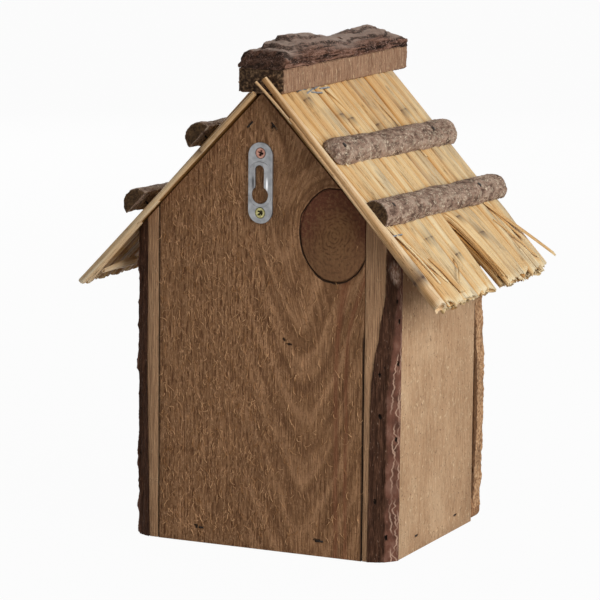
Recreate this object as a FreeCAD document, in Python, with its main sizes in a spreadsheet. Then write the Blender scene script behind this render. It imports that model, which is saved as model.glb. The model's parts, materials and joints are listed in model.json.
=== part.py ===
import FreeCAD, Part
import math
import os
import re
import Sketcher

# A bird nest box of rough-sawn boards, thatched with reeds.
# The origin is the centre of the floor's underside, +Z is up, the entrance faces -Y
# and the hanger plate faces +Y. Left and right are as seen from the front.

# Driving dimensions, in millimetres and degrees.
SIZES = (
    # Boards of the box
    ("panel_width", 111),
    ("panel_gap", 0.4),
    ("wall_thickness", 15),
    ("wall_depth", 104),
    ("back_thickness", 12),
    ("front_thickness", 12),
    ("front_overlap", 2),
    ("front_corner_radius", 4),
    ("floor_thickness", 15),
    ("apex_height", 225),
    ("roof_pitch", 46.4),
    ("roof_board_thickness", 12),
    ("entrance_diameter", 32),
    ("entrance_height", 132),
    # The encased knot in the back panel and the crack round it
    ("knot_inset", 16),
    ("knot_height", 158.5),
    ("knot_half_width", 18.4),
    ("knot_half_height", 23),
    ("knot_crack_width", 0.9),
    ("knot_crack_depth", 0.6),
    # Waney edges and their bark
    ("wane_depth", 10),
    ("wane_waist_height", 82),
    ("wane_shoulder_height", 128),
    ("left_strip_foot", 2.5),
    ("left_strip_waist", 3.5),
    ("left_strip_shoulder", 10.5),
    ("left_strip_top", 11),
    ("right_strip_foot", 4.5),
    ("right_strip_waist", 6),
    ("right_strip_shoulder", 5.5),
    ("right_strip_top", 6),
    ("bark_thickness", 2.5),
    ("front_bark_thickness", 1.8),
    # Reed thatch
    ("thatch_rear_overhang", 7),
    ("thatch_front_overhang", 18),
    ("left_eave_reach", 141),
    ("right_eave_reach", 137),
    ("ragged_cut", 5),
    ("under_reed_diameter", 2.8),
    ("top_reed_diameter", 4.4),
    ("reed_gap", 1.4),
    ("reed_clearance", 0.15),
    ("peak_overrun", 8.5),
    # Ridge slab and its bark
    ("slab_width", 24),
    ("slab_height", 12),
    ("slab_length", 151),
    ("ridge_bark_edge", 3.5),
    ("ridge_bark_rear_rise", 2.5),
    ("ridge_bark_hump_rise", 8),
    ("ridge_bark_dip_rise", 5),
    ("ridge_bark_front_rise", 2),
    # Half-round battens
    ("batten_width", 15),
    ("batten_height", 7),
    ("upper_batten_length", 138),
    ("lower_batten_length", 147),
    ("upper_batten_overhang", 3),
    ("lower_batten_overhang", 6.5),
    ("left_upper_batten_drop", 45),
    ("left_lower_batten_drop", 82.5),
    ("right_upper_batten_drop", 39),
    ("right_lower_batten_drop", 86),
    ("batten_lean", 4.5),
    # Hanger plate and its screws
    ("hanger_length", 39.6),
    ("hanger_width", 13),
    ("hanger_thickness", 1.2),
    ("hanger_drop", 43.4),
    ("boss_width", 12),
    ("boss_height", 1),
    ("keyhole_diameter", 8.6),
    ("keyhole_drop", 5.8),
    ("slot_width", 4.6),
    ("slot_rise", 6.4),
    ("boss_rise", 4.4),
    ("screw_spacing", 29.1),
    ("screw_head_diameter", 5.4),
    ("screw_shank_diameter", 3),
    ("screw_length", 11),
    ("cross_width", 0.8),
    ("cross_span", 3.2),
    ("cross_depth", 0.9),
    # Staples, nails and the room left round them
    ("staple_crown", 4.5),
    ("staple_wire_thickness", 1),
    ("staple_leg_length", 22),
    ("staple_sink", 0.6),
    ("floor_staple_spread", 32.5),
    ("wall_staple_spread", 25),
    ("roof_staple_drop", 15.7),
    ("front_staple_low", 40),
    ("front_staple_high", 118),
    ("thatch_wire_thickness", 0.8),
    ("thatch_leg_length", 13),
    ("nail_head_diameter", 2.6),
    ("nail_head_height", 0.8),
    ("nail_diameter", 1),
    ("batten_nail_length", 26),
    ("ridge_nail_length", 26),
    ("ridge_nail_offset", 4),
    ("fastener_clearance", 0.1),
)

# Values worked out from the driving dimensions.
DERIVED = {
    "rear_y": "(back_thickness + wall_depth) / 2",
    "back_inner_y": "rear_y - back_thickness",
    "front_inner_y": "rear_y - wall_depth",
    "front_outer_y": "front_inner_y - front_thickness",
    "inner_x": "panel_width / 2",
    "outer_x": "inner_x + wall_thickness",
    "back_half": "inner_x - panel_gap",
    "front_half": "outer_x + front_overlap",
    "rise": "tan(roof_pitch)",
    "wall_top": "apex_height - inner_x * rise",
    "front_top": "apex_height - front_half * rise",
    "board_drop": "roof_board_thickness / cos(roof_pitch)",
    "trim": "wall_thickness",
    "floor_middle": "floor_thickness / 2",
    "knot_x": "knot_inset - back_half",
    "reed_pitch": "top_reed_diameter + reed_gap",
    "under_top": "2 * reed_clearance + under_reed_diameter",
    "thatch_top": "under_top + reed_clearance + top_reed_diameter",
    "thatch_rear": "rear_y + thatch_rear_overhang",
    "thatch_front": "front_outer_y - thatch_front_overhang",
    "slab_rear": "thatch_rear - reed_pitch",
    "slab_front": "slab_rear - slab_length",
    "slab_top": "apex_height + slab_height",
    "hanger_height": "apex_height - hanger_drop",
    "hanger_end": "(hanger_length - hanger_width) / 2",
    "keyhole_height": "hanger_height - keyhole_drop",
    "boss_face_y": "rear_y + boss_height + hanger_thickness",
    "plate_face_y": "rear_y + hanger_thickness",
    "screw_head": "screw_head_diameter / 2",
    "screw_shank": "screw_shank_diameter / 2",
    "slot_half_length": "staple_crown / 2 + fastener_clearance",
    "slot_half_width": "staple_wire_thickness / 2 + fastener_clearance",
    "staple_reach": "staple_sink + staple_leg_length + fastener_clearance",
    "nail_hole": "nail_diameter / 2 + fastener_clearance",
    "batten_nail_head": "thatch_top + batten_height",
    "wall_middle": "inner_x + wall_thickness / 2",
}

NAMES = {name for name, _ in SIZES}
WORD = re.compile(r"[a-z_][a-z0-9_]*")
VECTOR = FreeCAD.Vector
RIGHT = 1
LEFT = -1
PARTS = []

DOC = FreeCAD.newDocument("NestBox")
SHEET = DOC.addObject("Spreadsheet::Sheet", "Sizes")
for row, (name, size) in enumerate(SIZES, start=1):
    SHEET.set(f"A{row}", name)
    SHEET.set(f"B{row}", str(size))
    SHEET.setAlias(f"B{row}", name)
DOC.recompute()


def expand(text):
    """Write out the derived values and point every size at its cell."""

    def swap(match):
        word = match.group()
        if word in DERIVED:
            return "(" + expand(DERIVED[word]) + ")"
        return "Sizes." + word if word in NAMES else word

    return WORD.sub(swap, str(text))


def number(text):
    """The present value of an expression in the sizes' names."""
    return float(SHEET.evalExpression(expand(text)))


def bind(item, slot, text):
    item.setExpression(slot, expand(text))


def mirror(side, text):
    """An X coordinate on the right, or its mirror image on the left."""
    return text if side == RIGHT else f"-({text})"


# Sketches

PLANE_NORMALS = {"XY_Plane": 1, "XZ_Plane": -1, "YZ_Plane": 1}


def sketch_on(body, plane, low, high):
    """A sketch at the end of the span low..high from which its normal runs through the span."""
    made = body.newObject("Sketcher::SketchObject", "Outline")
    support = [part for part in body.Origin.OriginFeatures if part.Role == plane][0]
    made.AttachmentSupport = [(support, "")]
    made.MapMode = "FlatFace"
    bind(made, "AttachmentOffset.Base.z", low if PLANE_NORMALS[plane] > 0 else f"-({high})")
    return made


def slope_frame(side):
    """The frame of a roof slope: X down the slope from the apex, Z out of the roof."""
    turn = "vector(0; 1; 0); roof_pitch"
    if side == LEFT:
        turn = "vector(-sin(roof_pitch / 2); 0; cos(roof_pitch / 2)); 180"
    return f"placement(vector(0; 0; apex_height); rotation({turn}))"


def sketch_on_slope(body, side):
    """A sketch in the roof's surface, in the frame of one slope."""
    made = body.newObject("Sketcher::SketchObject", "SlopeOutline")
    support = [part for part in body.Origin.OriginFeatures if part.Role == "XY_Plane"][0]
    made.AttachmentSupport = [(support, "")]
    made.MapMode = "FlatFace"
    bind(made, "AttachmentOffset", slope_frame(side))
    return made


def size(sketch, constraint, text):
    """Add a constraint and bind its value to an expression."""
    bind(sketch, f"Constraints[{sketch.addConstraint(constraint)}]", text)


def pin(sketch, geometry, point, u, v):
    """Hold a point of the sketch at a place given from the origin."""
    size(sketch, Sketcher.Constraint("DistanceX", -1, 1, geometry, point, number(u)), u)
    size(sketch, Sketcher.Constraint("DistanceY", -1, 1, geometry, point, number(v)), v)


def draw_outline(sketch, corners):
    """A closed outline; a corner's third value bows the edge after it outwards by that much."""
    first = sketch.GeometryCount
    spots = [VECTOR(number(corner[0]), number(corner[1]), 0) for corner in corners]
    ends = []
    for index, corner in enumerate(corners):
        start = spots[index]
        stop = spots[(index + 1) % len(spots)]
        if len(corner) == 2:
            sketch.addGeometry(Part.LineSegment(start, stop))
            ends.append((1, 2))
            continue
        along = stop - start
        outwards = VECTOR(along.y, -along.x, 0).normalize()
        middle = (start + stop) / 2 + outwards * number(corner[2])
        edge = sketch.addGeometry(Part.ArcOfCircle(start, middle, stop))
        forwards = (sketch.getPoint(edge, 1) - start).Length < (sketch.getPoint(edge, 1) - stop).Length
        ends.append((1, 2) if forwards else (2, 1))
    for index in range(len(corners)):
        after = (index + 1) % len(corners)
        join = (first + index, ends[index][1], first + after, ends[after][0])
        sketch.addConstraint(Sketcher.Constraint("Coincident", *join))
    for index, corner in enumerate(corners):
        pin(sketch, first + index, ends[index][0], corner[0], corner[1])
        if len(corner) == 3:
            after = corners[(index + 1) % len(corners)]
            chord = f"(({after[0]}) - ({corner[0]}))^2 + (({after[1]}) - ({corner[1]}))^2"
            radius = f"(({chord}) / 4 + ({corner[2]})^2) / (2 * ({corner[2]}))"
            size(sketch, Sketcher.Constraint("Radius", first + index, number(radius)), radius)


def draw_rectangle(sketch, u, v, half_u, half_v):
    low_u, high_u = f"{u} - ({half_u})", f"{u} + ({half_u})"
    low_v, high_v = f"{v} - ({half_v})", f"{v} + ({half_v})"
    draw_outline(sketch, [(low_u, low_v), (high_u, low_v), (high_u, high_v), (low_u, high_v)])


def draw_polygon(sketch, radius, sides):
    """A regular polygon round the origin, whose corners lie at a radius."""
    turns = [2 * math.pi * index / sides for index in range(sides)]
    draw_outline(sketch, [(f"{radius} * {math.cos(turn):.5f}", f"{radius} * {math.sin(turn):.5f}")
                          for turn in turns])


def draw_circle(sketch, u, v, radius):
    circle = Part.Circle(VECTOR(number(u), number(v), 0), VECTOR(0, 0, 1), number(radius))
    edge = sketch.addGeometry(circle)
    pin(sketch, edge, 3, u, v)
    size(sketch, Sketcher.Constraint("Radius", edge, number(radius)), radius)


def draw_upright_ellipse(sketch, u, v, half_width, half_height):
    centre = VECTOR(number(u), number(v), 0)
    top = centre + VECTOR(0, number(half_height), 0)
    side = centre + VECTOR(number(half_width), 0, 0)
    edge = sketch.addGeometry(Part.Ellipse(top, side, centre))
    sketch.exposeInternalGeometry(edge)
    pin(sketch, edge, 3, u, v)
    sketch.addConstraint(Sketcher.Constraint("Vertical", edge + 1))
    for axis, half in ((edge + 1, half_height), (edge + 2, half_width)):
        size(sketch, Sketcher.Constraint("Distance", axis, 2 * number(half)), f"2 * ({half})")


def draw_stadium(sketch, u, low, high, radius):
    """An upright slot between half circles round (u, low) and (u, high)."""
    across, foot, top, reach = (number(text) for text in (u, low, high, radius))
    up = VECTOR(0, 0, 1)
    upper = sketch.addGeometry(
        Part.ArcOfCircle(Part.Circle(VECTOR(across, top, 0), up, reach), 0, math.pi))
    lower = sketch.addGeometry(
        Part.ArcOfCircle(Part.Circle(VECTOR(across, foot, 0), up, reach), math.pi, 2 * math.pi))
    down = sketch.addGeometry(
        Part.LineSegment(VECTOR(across - reach, top, 0), VECTOR(across - reach, foot, 0)))
    back = sketch.addGeometry(
        Part.LineSegment(VECTOR(across + reach, foot, 0), VECTOR(across + reach, top, 0)))
    for before, after in ((upper, down), (down, lower), (lower, back), (back, upper)):
        sketch.addConstraint(Sketcher.Constraint("Tangent", before, 2, after, 1))
    sketch.addConstraint(Sketcher.Constraint("Equal", upper, lower))
    pin(sketch, upper, 3, u, high)
    pin(sketch, lower, 3, u, low)
    size(sketch, Sketcher.Constraint("Radius", upper, reach), radius)


# Features

def new_body(label):
    body = DOC.addObject("PartDesign::Body", label)
    body.Label = label
    return body


def pad(body, sketch, low, high):
    made = body.newObject("PartDesign::Pad", "Pad")
    made.Profile = sketch
    bind(made, "Length", f"{high} - ({low})")
    DOC.recompute()


def cut(body, sketch, depth, inwards=False):
    """Pocket along the sketch's normal, or against it where inwards is set."""
    before = body.Shape.Volume
    made = body.newObject("PartDesign::Pocket", "Pocket")
    made.Profile = sketch
    made.Reversed = not inwards
    bind(made, "Length", depth)
    DOC.recompute()
    if not body.Shape.Volume < before:
        raise RuntimeError(f"{body.Label}: a pocket cut nothing")


def loft(body, sections, ruled):
    made = body.newObject("PartDesign::AdditiveLoft", "Loft")
    made.Profile = sections[0]
    made.Sections = list(sections[1:])
    made.Ruled = ruled
    DOC.recompute()


def revolve(body, sketch, kind="Revolution", axis="V_Axis"):
    made = body.newObject(f"PartDesign::{kind}", kind)
    made.Profile = sketch
    made.ReferenceAxis = (sketch, [axis])
    made.Angle = 360
    DOC.recompute()


def finish(part):
    PARTS.append(part)
    return part


def group(label, members, frame=None):
    """Separate solids of one kind under one name."""
    made = DOC.addObject("Part::Compound", label)
    made.Label = label
    made.Links = members
    if frame:
        bind(made, "Placement", frame)
    return finish(made)


def copy_at(source, place):
    made = DOC.addObject("App::Link", f"{source.Name}_copy")
    made.LinkedObject = source
    made.LinkTransform = False
    bind(made, "Placement", place)
    return made


# Places of the fasteners, shared by the pieces that they hold together

def stem_gap(y):
    """The middle of the gap between stems that lies nearest to a place along the roof."""
    count = round((number("thatch_rear") - number(y)) / number("reed_pitch"))
    return f"thatch_rear - {count} * reed_pitch"


BATTENS = {
    "left_upper_batten": (LEFT, "left_upper_batten_drop", "upper_batten_length", "upper_batten_overhang"),
    "left_lower_batten": (LEFT, "left_lower_batten_drop", "lower_batten_length", "lower_batten_overhang"),
    "right_upper_batten": (RIGHT, "right_upper_batten_drop", "upper_batten_length", "upper_batten_overhang"),
    "right_lower_batten": (RIGHT, "right_lower_batten_drop", "lower_batten_length", "lower_batten_overhang"),
}
REAR_NAIL = stem_gap("(rear_y + back_inner_y) / 2")
FRONT_NAIL = stem_gap("(front_inner_y + front_outer_y) / 2")
FLOOR_STAPLES = ("floor_staple_spread", "-floor_staple_spread")
WALL_STAPLES = ("wall_staple_spread", "-wall_staple_spread")
FRONT_STAPLES = ("front_staple_low", "front_staple_high")
RIDGE_NAILS = (("ridge_nail_offset", "back_inner_y / 2"), ("-ridge_nail_offset", "front_inner_y / 2"))
THATCH_STAPLE_COUNT = 5
STEMS_UNDER_CROWN = 2


def slope_y(side, y):
    """A place along the roof, in the frame of a slope."""
    return y if side == RIGHT else f"-({y})"


def batten_line(name, y):
    """How far down the slope a batten's middle lies at a place along the roof."""
    _, drop, length, overhang = BATTENS[name]
    return f"{drop} + batten_lean * (rear_y + {overhang} - ({y})) / {length}"


def slope_point(side, drop, out):
    """A point of the gable's plane, from its distance down the slope and out of the roof."""
    across = f"({drop}) * cos(roof_pitch) + ({out}) * sin(roof_pitch)"
    return mirror(side, across), f"apex_height - ({drop}) * sin(roof_pitch) + ({out}) * cos(roof_pitch)"


def roof_staple_slot(side):
    """The slot of a staple that lies along the slope, in the middle of the roof board's edge."""
    low = "roof_staple_drop - slot_half_length"
    high = "roof_staple_drop + slot_half_length"
    top = "slot_half_width - roof_board_thickness / 2"
    foot = "-slot_half_width - roof_board_thickness / 2"
    return [slope_point(side, *corner) for corner in ((low, foot), (high, foot), (high, top), (low, top))]


def thatch_staple_legs(side):
    """First gap and drop of each wire staple: the left ones start behind, the right ones end in front."""
    room = "(fastener_clearance + thatch_wire_thickness) / reed_pitch"
    first = math.ceil(number(f"(thatch_rear - back_inner_y) / reed_pitch + {room}"))
    if side == RIGHT:
        last = math.floor(number(f"(thatch_rear - front_inner_y) / reed_pitch - {room}"))
        first = last - STEMS_UNDER_CROWN - THATCH_STAPLE_COUNT + 1
    drops = [f"thatch_top / rise + (2 + 2 * {index % 3}) * thatch_wire_thickness"
             for index in range(THATCH_STAPLE_COUNT)]
    return [(first + index, drop) for index, drop in enumerate(drops)]


def gap_y(count):
    return f"(thatch_rear - {count} * reed_pitch)"


def nail_through(body, side, spots, depth):
    """Holes square to the roof through a board in its place."""
    sketch = sketch_on_slope(body, side)
    for drop, y in spots:
        draw_circle(sketch, drop, slope_y(side, y), "nail_hole")
    cut(body, sketch, depth, inwards=True)


def batten_nail_spots(side, y):
    return [(batten_line(name, y), y) for name in BATTENS if BATTENS[name][0] == side]


BATTEN_NAIL_DEPTH = "batten_nail_length - batten_nail_head + fastener_clearance"


# Boards of the box

def make_back_panel():
    body = new_body("back_panel")
    top = "apex_height - back_half * rise"
    sketch = sketch_on(body, "XZ_Plane", "back_inner_y", "rear_y")
    draw_outline(sketch, [("-back_half", "0"), ("back_half", "0"), ("back_half", top),
                          ("0", "apex_height"), ("-back_half", top)])
    pad(body, sketch, "back_inner_y", "rear_y")

    sketch = sketch_on(body, "XZ_Plane", "back_inner_y", "rear_y")
    for width, height in (("knot_half_width", "knot_half_height"),
                          ("knot_half_width - knot_crack_width", "knot_half_height - knot_crack_width")):
        draw_upright_ellipse(sketch, "knot_x", "knot_height", width, height)
    cut(body, sketch, "knot_crack_depth")

    sketch = sketch_on(body, "XZ_Plane", "back_inner_y", "rear_y")
    for x in FLOOR_STAPLES:
        draw_rectangle(sketch, x, "floor_middle", "slot_half_length", "slot_half_width")
    for side in (LEFT, RIGHT):
        draw_outline(sketch, roof_staple_slot(side))
    cut(body, sketch, "back_thickness")

    sketch = sketch_on(body, "XZ_Plane", "back_inner_y", "rear_y")
    for turn in (1, -1):
        draw_circle(sketch, "0", f"hanger_height + {turn} * screw_spacing / 2",
                    "screw_shank + fastener_clearance")
    cut(body, sketch, "screw_length - hanger_thickness + fastener_clearance")

    for side in (LEFT, RIGHT):
        nail_through(body, side, batten_nail_spots(side, REAR_NAIL), BATTEN_NAIL_DEPTH)
    return finish(body)


def make_front_panel():
    body = new_body("front_panel")
    corner_bow = "front_corner_radius * (1 - cos(45))"
    sketch = sketch_on(body, "XZ_Plane", "front_outer_y", "front_inner_y")
    draw_outline(sketch, [
        ("front_corner_radius - front_half", "0"),
        ("front_half - front_corner_radius", "0", corner_bow),
        ("front_half", "front_corner_radius"),
        ("front_half", "front_top"),
        ("0", "apex_height"),
        ("-front_half", "front_top"),
        ("-front_half", "front_corner_radius", corner_bow)])
    pad(body, sketch, "front_outer_y", "front_inner_y")

    sketch = sketch_on(body, "XZ_Plane", "front_outer_y", "front_inner_y")
    draw_circle(sketch, "0", "entrance_height", "entrance_diameter / 2")
    for x in FLOOR_STAPLES:
        draw_rectangle(sketch, x, "floor_middle", "slot_half_length", "slot_half_width")
    for side in (LEFT, RIGHT):
        draw_outline(sketch, roof_staple_slot(side))
        for z in FRONT_STAPLES:
            draw_rectangle(sketch, mirror(side, "wall_middle"), z, "slot_half_width", "slot_half_length")
    cut(body, sketch, "front_thickness")

    for side in (LEFT, RIGHT):
        nail_through(body, side, batten_nail_spots(side, FRONT_NAIL), BATTEN_NAIL_DEPTH)
    return finish(body)


def trim_to_roof(body, side):
    """Bevel a piece beside the roof so that its top lies in the roof's surface."""
    sketch = sketch_on(body, "XZ_Plane", "front_outer_y", "rear_y + trim")
    near, far = "inner_x - trim", "outer_x + trim"
    high = "wall_top + trim * (1 + rise)"
    draw_outline(sketch, [
        (mirror(side, near), f"apex_height - ({near}) * rise"),
        (mirror(side, far), f"apex_height - ({far}) * rise"),
        (mirror(side, far), high),
        (mirror(side, near), high)])
    cut(body, sketch, "rear_y + trim - front_outer_y")


WANE_STATIONS = (("foot", "0"), ("waist", "wane_waist_height"), ("shoulder", "wane_shoulder_height"))


def strip_edge(side, station):
    """How far from the middle the sawn rear edge of a wall ends and the bark starts."""
    return f"inner_x + {'right' if side == RIGHT else 'left'}_strip_{station}"


def make_side_wall(label, side):
    body = new_body(label)
    inner, outer = mirror(side, "inner_x"), mirror(side, "outer_x")
    sections = []
    for station, z in (*WANE_STATIONS, ("top", "wall_top")):
        sketch = sketch_on(body, "XY_Plane", z, z)
        draw_outline(sketch, [(inner, "front_inner_y"), (outer, "front_inner_y"),
                              (outer, "rear_y - wane_depth"),
                              (mirror(side, strip_edge(side, station)), "rear_y"), (inner, "rear_y")])
        sections.append(sketch)
    loft(body, sections, ruled=True)
    trim_to_roof(body, side)

    sketch = sketch_on(body, "YZ_Plane", "inner_x" if side == RIGHT else "-outer_x", "0")
    for y in WALL_STAPLES:
        draw_rectangle(sketch, y, "floor_middle", "slot_half_length", "slot_half_width")
    cut(body, sketch, "wall_thickness")

    sketch = sketch_on(body, "XZ_Plane", "front_inner_y", "front_inner_y")
    for z in FRONT_STAPLES:
        draw_rectangle(sketch, mirror(side, "wall_middle"), z, "slot_half_width", "slot_half_length")
    cut(body, sketch, "staple_reach - front_thickness", inwards=True)
    return finish(body)


def bark_section(side, strip, stretch):
    """Corners of the bark on a wane: outer edge, ridge and rear edge, with X stretched as in its plane."""
    outer, rear = "outer_x", f"({strip})"
    middle = f"({outer} + {rear}) / 2 + bark_thickness * cos(45)"
    ridge_y = "rear_y - wane_depth / 2 + bark_thickness * cos(45)"
    corners = ((outer, "rear_y - wane_depth"), (middle, ridge_y), (rear, "rear_y"))
    return [(f"({x}) * {stretch}", y) for x, y in corners]


def make_wall_bark(label, side):
    """Bark in two planes that meet in a ridge, from the foot up to the roof's surface."""
    body = new_body(label)
    sections = []
    for station, z in WANE_STATIONS:
        sketch = sketch_on(body, "XY_Plane", z, z)
        corners = bark_section(side, strip_edge(side, station), "1")
        draw_outline(sketch, [(mirror(side, x), y) for x, y in corners])
        sections.append(sketch)
    sketch = sketch_on_slope(body, side)
    corners = bark_section(side, strip_edge(side, "top"), "1 / cos(roof_pitch)")
    draw_outline(sketch, [(x, slope_y(side, y)) for x, y in corners])
    loft(body, [*sections, sketch], ruled=True)
    return finish(body)


def make_front_bark(label, side):
    body = new_body(label)
    edge = mirror(side, "front_half")
    foot = (edge, "front_corner_radius")
    top = (edge, "front_top - 2 * front_bark_thickness")
    sketch = sketch_on(body, "XZ_Plane", "front_outer_y", "front_inner_y")
    if side == RIGHT:
        draw_outline(sketch, [(*foot, "front_bark_thickness"), top])
    else:
        draw_outline(sketch, [(*top, "front_bark_thickness"), foot])
    pad(body, sketch, "front_outer_y", "front_inner_y")
    return finish(body)


def make_floor():
    body = new_body("floor_panel")
    sketch = sketch_on(body, "XY_Plane", "0", "floor_thickness")
    draw_outline(sketch, [("-inner_x", "front_inner_y"), ("inner_x", "front_inner_y"),
                          ("inner_x", "back_inner_y"), ("-inner_x", "back_inner_y")])
    pad(body, sketch, "0", "floor_thickness")

    for y, board, inwards in (("back_inner_y", "back_thickness", False),
                              ("front_inner_y", "front_thickness", True)):
        sketch = sketch_on(body, "XZ_Plane", y, y)
        for x in FLOOR_STAPLES:
            draw_rectangle(sketch, x, "floor_middle", "slot_half_length", "slot_half_width")
        cut(body, sketch, f"staple_reach - {board}", inwards)
    for side in (LEFT, RIGHT):
        sketch = sketch_on(body, "YZ_Plane", mirror(side, "inner_x"), "0")
        for y in WALL_STAPLES:
            draw_rectangle(sketch, y, "floor_middle", "slot_half_length", "slot_half_width")
        cut(body, sketch, "staple_reach - wall_thickness", inwards=side == RIGHT)
    return finish(body)


def make_roof_board(label, side):
    body = new_body(label)
    inner = mirror(side, "inner_x")
    sketch = sketch_on(body, "XZ_Plane", "front_inner_y", "back_inner_y")
    draw_outline(sketch, [("0", "apex_height - board_drop"), (inner, "wall_top - board_drop"),
                          (inner, "wall_top"), ("0", "apex_height")])
    pad(body, sketch, "front_inner_y", "back_inner_y")

    for y, board, inwards in (("back_inner_y", "back_thickness", False),
                              ("front_inner_y", "front_thickness", True)):
        sketch = sketch_on(body, "XZ_Plane", y, y)
        draw_outline(sketch, roof_staple_slot(side))
        cut(body, sketch, f"staple_reach - {board}", inwards)

    sketch = sketch_on_slope(body, side)
    half = "thatch_wire_thickness / 2 + fastener_clearance"
    for gap, drop in thatch_staple_legs(side):
        for leg in (gap, gap + STEMS_UNDER_CROWN):
            draw_rectangle(sketch, drop, slope_y(side, gap_y(leg)), half, half)
    cut(body, sketch, "thatch_leg_length - thatch_top + fastener_clearance", inwards=True)

    sketch = sketch_on(body, "XY_Plane", "slab_top - ridge_nail_length - fastener_clearance", "0")
    x, y = RIDGE_NAILS[0 if side == RIGHT else 1]
    draw_circle(sketch, x, y, "nail_hole")
    cut(body, sketch, "ridge_nail_length")
    return finish(body)


# Ridge

def make_ridge_slab():
    body = new_body("ridge_slab")
    sketch = sketch_on(body, "XZ_Plane", "slab_front", "slab_rear")
    draw_rectangle(sketch, "0", "apex_height + slab_height / 2", "slab_width / 2", "slab_height / 2")
    pad(body, sketch, "slab_front", "slab_rear")
    sketch = sketch_on(body, "XY_Plane", "apex_height", "slab_top")
    for x, y in RIDGE_NAILS:
        draw_circle(sketch, x, y, "nail_hole")
    cut(body, sketch, "slab_height")
    return finish(body)


BOW_SHARES = (0.75, 0.4, 0, -0.4, -0.75)


def make_ridge_bark():
    """Bark of a split log: upright edges and a bowed top that rises in two humps with a dip between."""
    body = new_body("ridge_bark")
    edge = "slab_top + ridge_bark_edge"
    rises = ("rear", "hump", "hump", "dip", "hump", "hump", "front")
    sections = []
    for index, name in enumerate(rises):
        y = f"slab_rear - slab_length * {index} / {len(rises) - 1}"
        sketch = sketch_on(body, "XZ_Plane", y, y)
        bow = [(f"{share} * slab_width / 2", f"{edge} + ridge_bark_{name}_rise * {1 - share ** 2:.4f}")
               for share in BOW_SHARES]
        draw_outline(sketch, [("-slab_width / 2", "slab_top"), ("slab_width / 2", "slab_top"),
                              ("slab_width / 2", edge), *bow, ("-slab_width / 2", edge)])
        sections.append(sketch)
    loft(body, sections, ruled=True)
    sketch = sketch_on(body, "XY_Plane", "slab_top", "slab_top")
    for x, y in RIDGE_NAILS:
        draw_circle(sketch, x, y, "nail_head_diameter / 2 + fastener_clearance")
    cut(body, sketch, "slab_width")
    return finish(body)


# Battens: split sticks that lie flat on the thatch and lean a little down the slope

def make_batten(label):
    """A half-round stick, drawn from its rear end along its own line and then laid on its slope."""
    side, drop, length, overhang = BATTENS[label]
    rear = f"rear_y + {overhang}"
    lean = f"atan(batten_lean / {length})"
    body = new_body(label)
    low, high = (f"-{length}", "0") if side == RIGHT else ("0", length)
    sketch = sketch_on(body, "XZ_Plane", low, high)
    draw_outline(sketch, [("-batten_width / 2", "0"), ("batten_width / 2", "0", "batten_height")])
    pad(body, sketch, low, high)

    seat = "batten_nail_head - nail_head_height - thatch_top"
    for low, radius in (("0", "nail_hole"), (seat, "nail_head_diameter / 2 + fastener_clearance")):
        sketch = sketch_on(body, "XY_Plane", low, low)
        for y in (REAR_NAIL, FRONT_NAIL):
            along = f"({y} - ({rear})) / cos({lean})"
            draw_circle(sketch, "0", slope_y(side, along), radius)
        cut(body, sketch, "batten_height")

    spot = f"vector({drop}; {slope_y(side, rear)}; thatch_top)"
    turn = f"rotation(vector(0; 0; 1); {slope_y(side, lean)})"
    bind(body, "Placement", f"{slope_frame(side)} * placement({spot}; {turn})")
    return finish(body)


# Thatch: stems laid side by side, in the frame of their slope

LAYERS = {"under": {"base": "reed_clearance", "thinning": 0.18, "phase": 2.1},
          "top": {"base": "under_top", "thinning": 0.12, "phase": 0.6}}
BARE_EDGE_STEMS = {(LEFT, "under"): 1, (LEFT, "top"): 0, (RIGHT, "under"): 0, (RIGHT, "top"): 3}
FILLED_EDGE_GAPS = {(LEFT, "under"): [], (LEFT, "top"): [], (RIGHT, "under"): [0.5], (RIGHT, "top"): []}
THICKNESS_STEP = 2.4
LENGTH_STEP = 1.9
STEM_SIDES = 8


def make_stems(label, side, layer):
    """One layer of stems, each with its own thickness and its own ragged end, resting on a flat side."""
    eave = "left_eave_reach" if side == LEFT else "right_eave_reach"
    count = int(number("(thatch_rear - thatch_front) / reed_pitch"))
    base, thinning, phase = LAYERS[layer].values()
    stems = []
    for index in [*range(BARE_EDGE_STEMS[side, layer], count), *FILLED_EDGE_GAPS[side, layer]]:
        slimness = 1 - thinning * math.sin(phase + THICKNESS_STEP * index) ** 2
        cut_back = math.sin(phase + LENGTH_STEP * index) ** 2
        start = f"({base} + {layer}_reed_diameter) / rise + reed_clearance"
        if index == 0 and side == LEFT:
            start = f"{base} - peak_overrun"
        radius = f"{layer}_reed_diameter * {slimness:.3f} / 2"
        stem = DOC.addObject("Part::Prism", f"{label}_stem")
        stem.Polygon = STEM_SIDES
        bind(stem, "Circumradius", f"{radius} / cos(180 / {STEM_SIDES})")
        bind(stem, "Height", f"{eave} - ragged_cut * {cut_back:.3f} - ({start})")
        y = slope_y(side, f"thatch_rear - ({index} + 0.5) * reed_pitch")
        turn = f"rotation(vector(0; 1; 0); 90) * rotation(vector(0; 0; 1); 180 / {STEM_SIDES})"
        bind(stem, "Placement", f"placement(vector({start}; {y}; {base} + {radius}); {turn})")
        stems.append(stem)
    return group(label, stems, slope_frame(side))


# Hanger plate and screws

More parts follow.
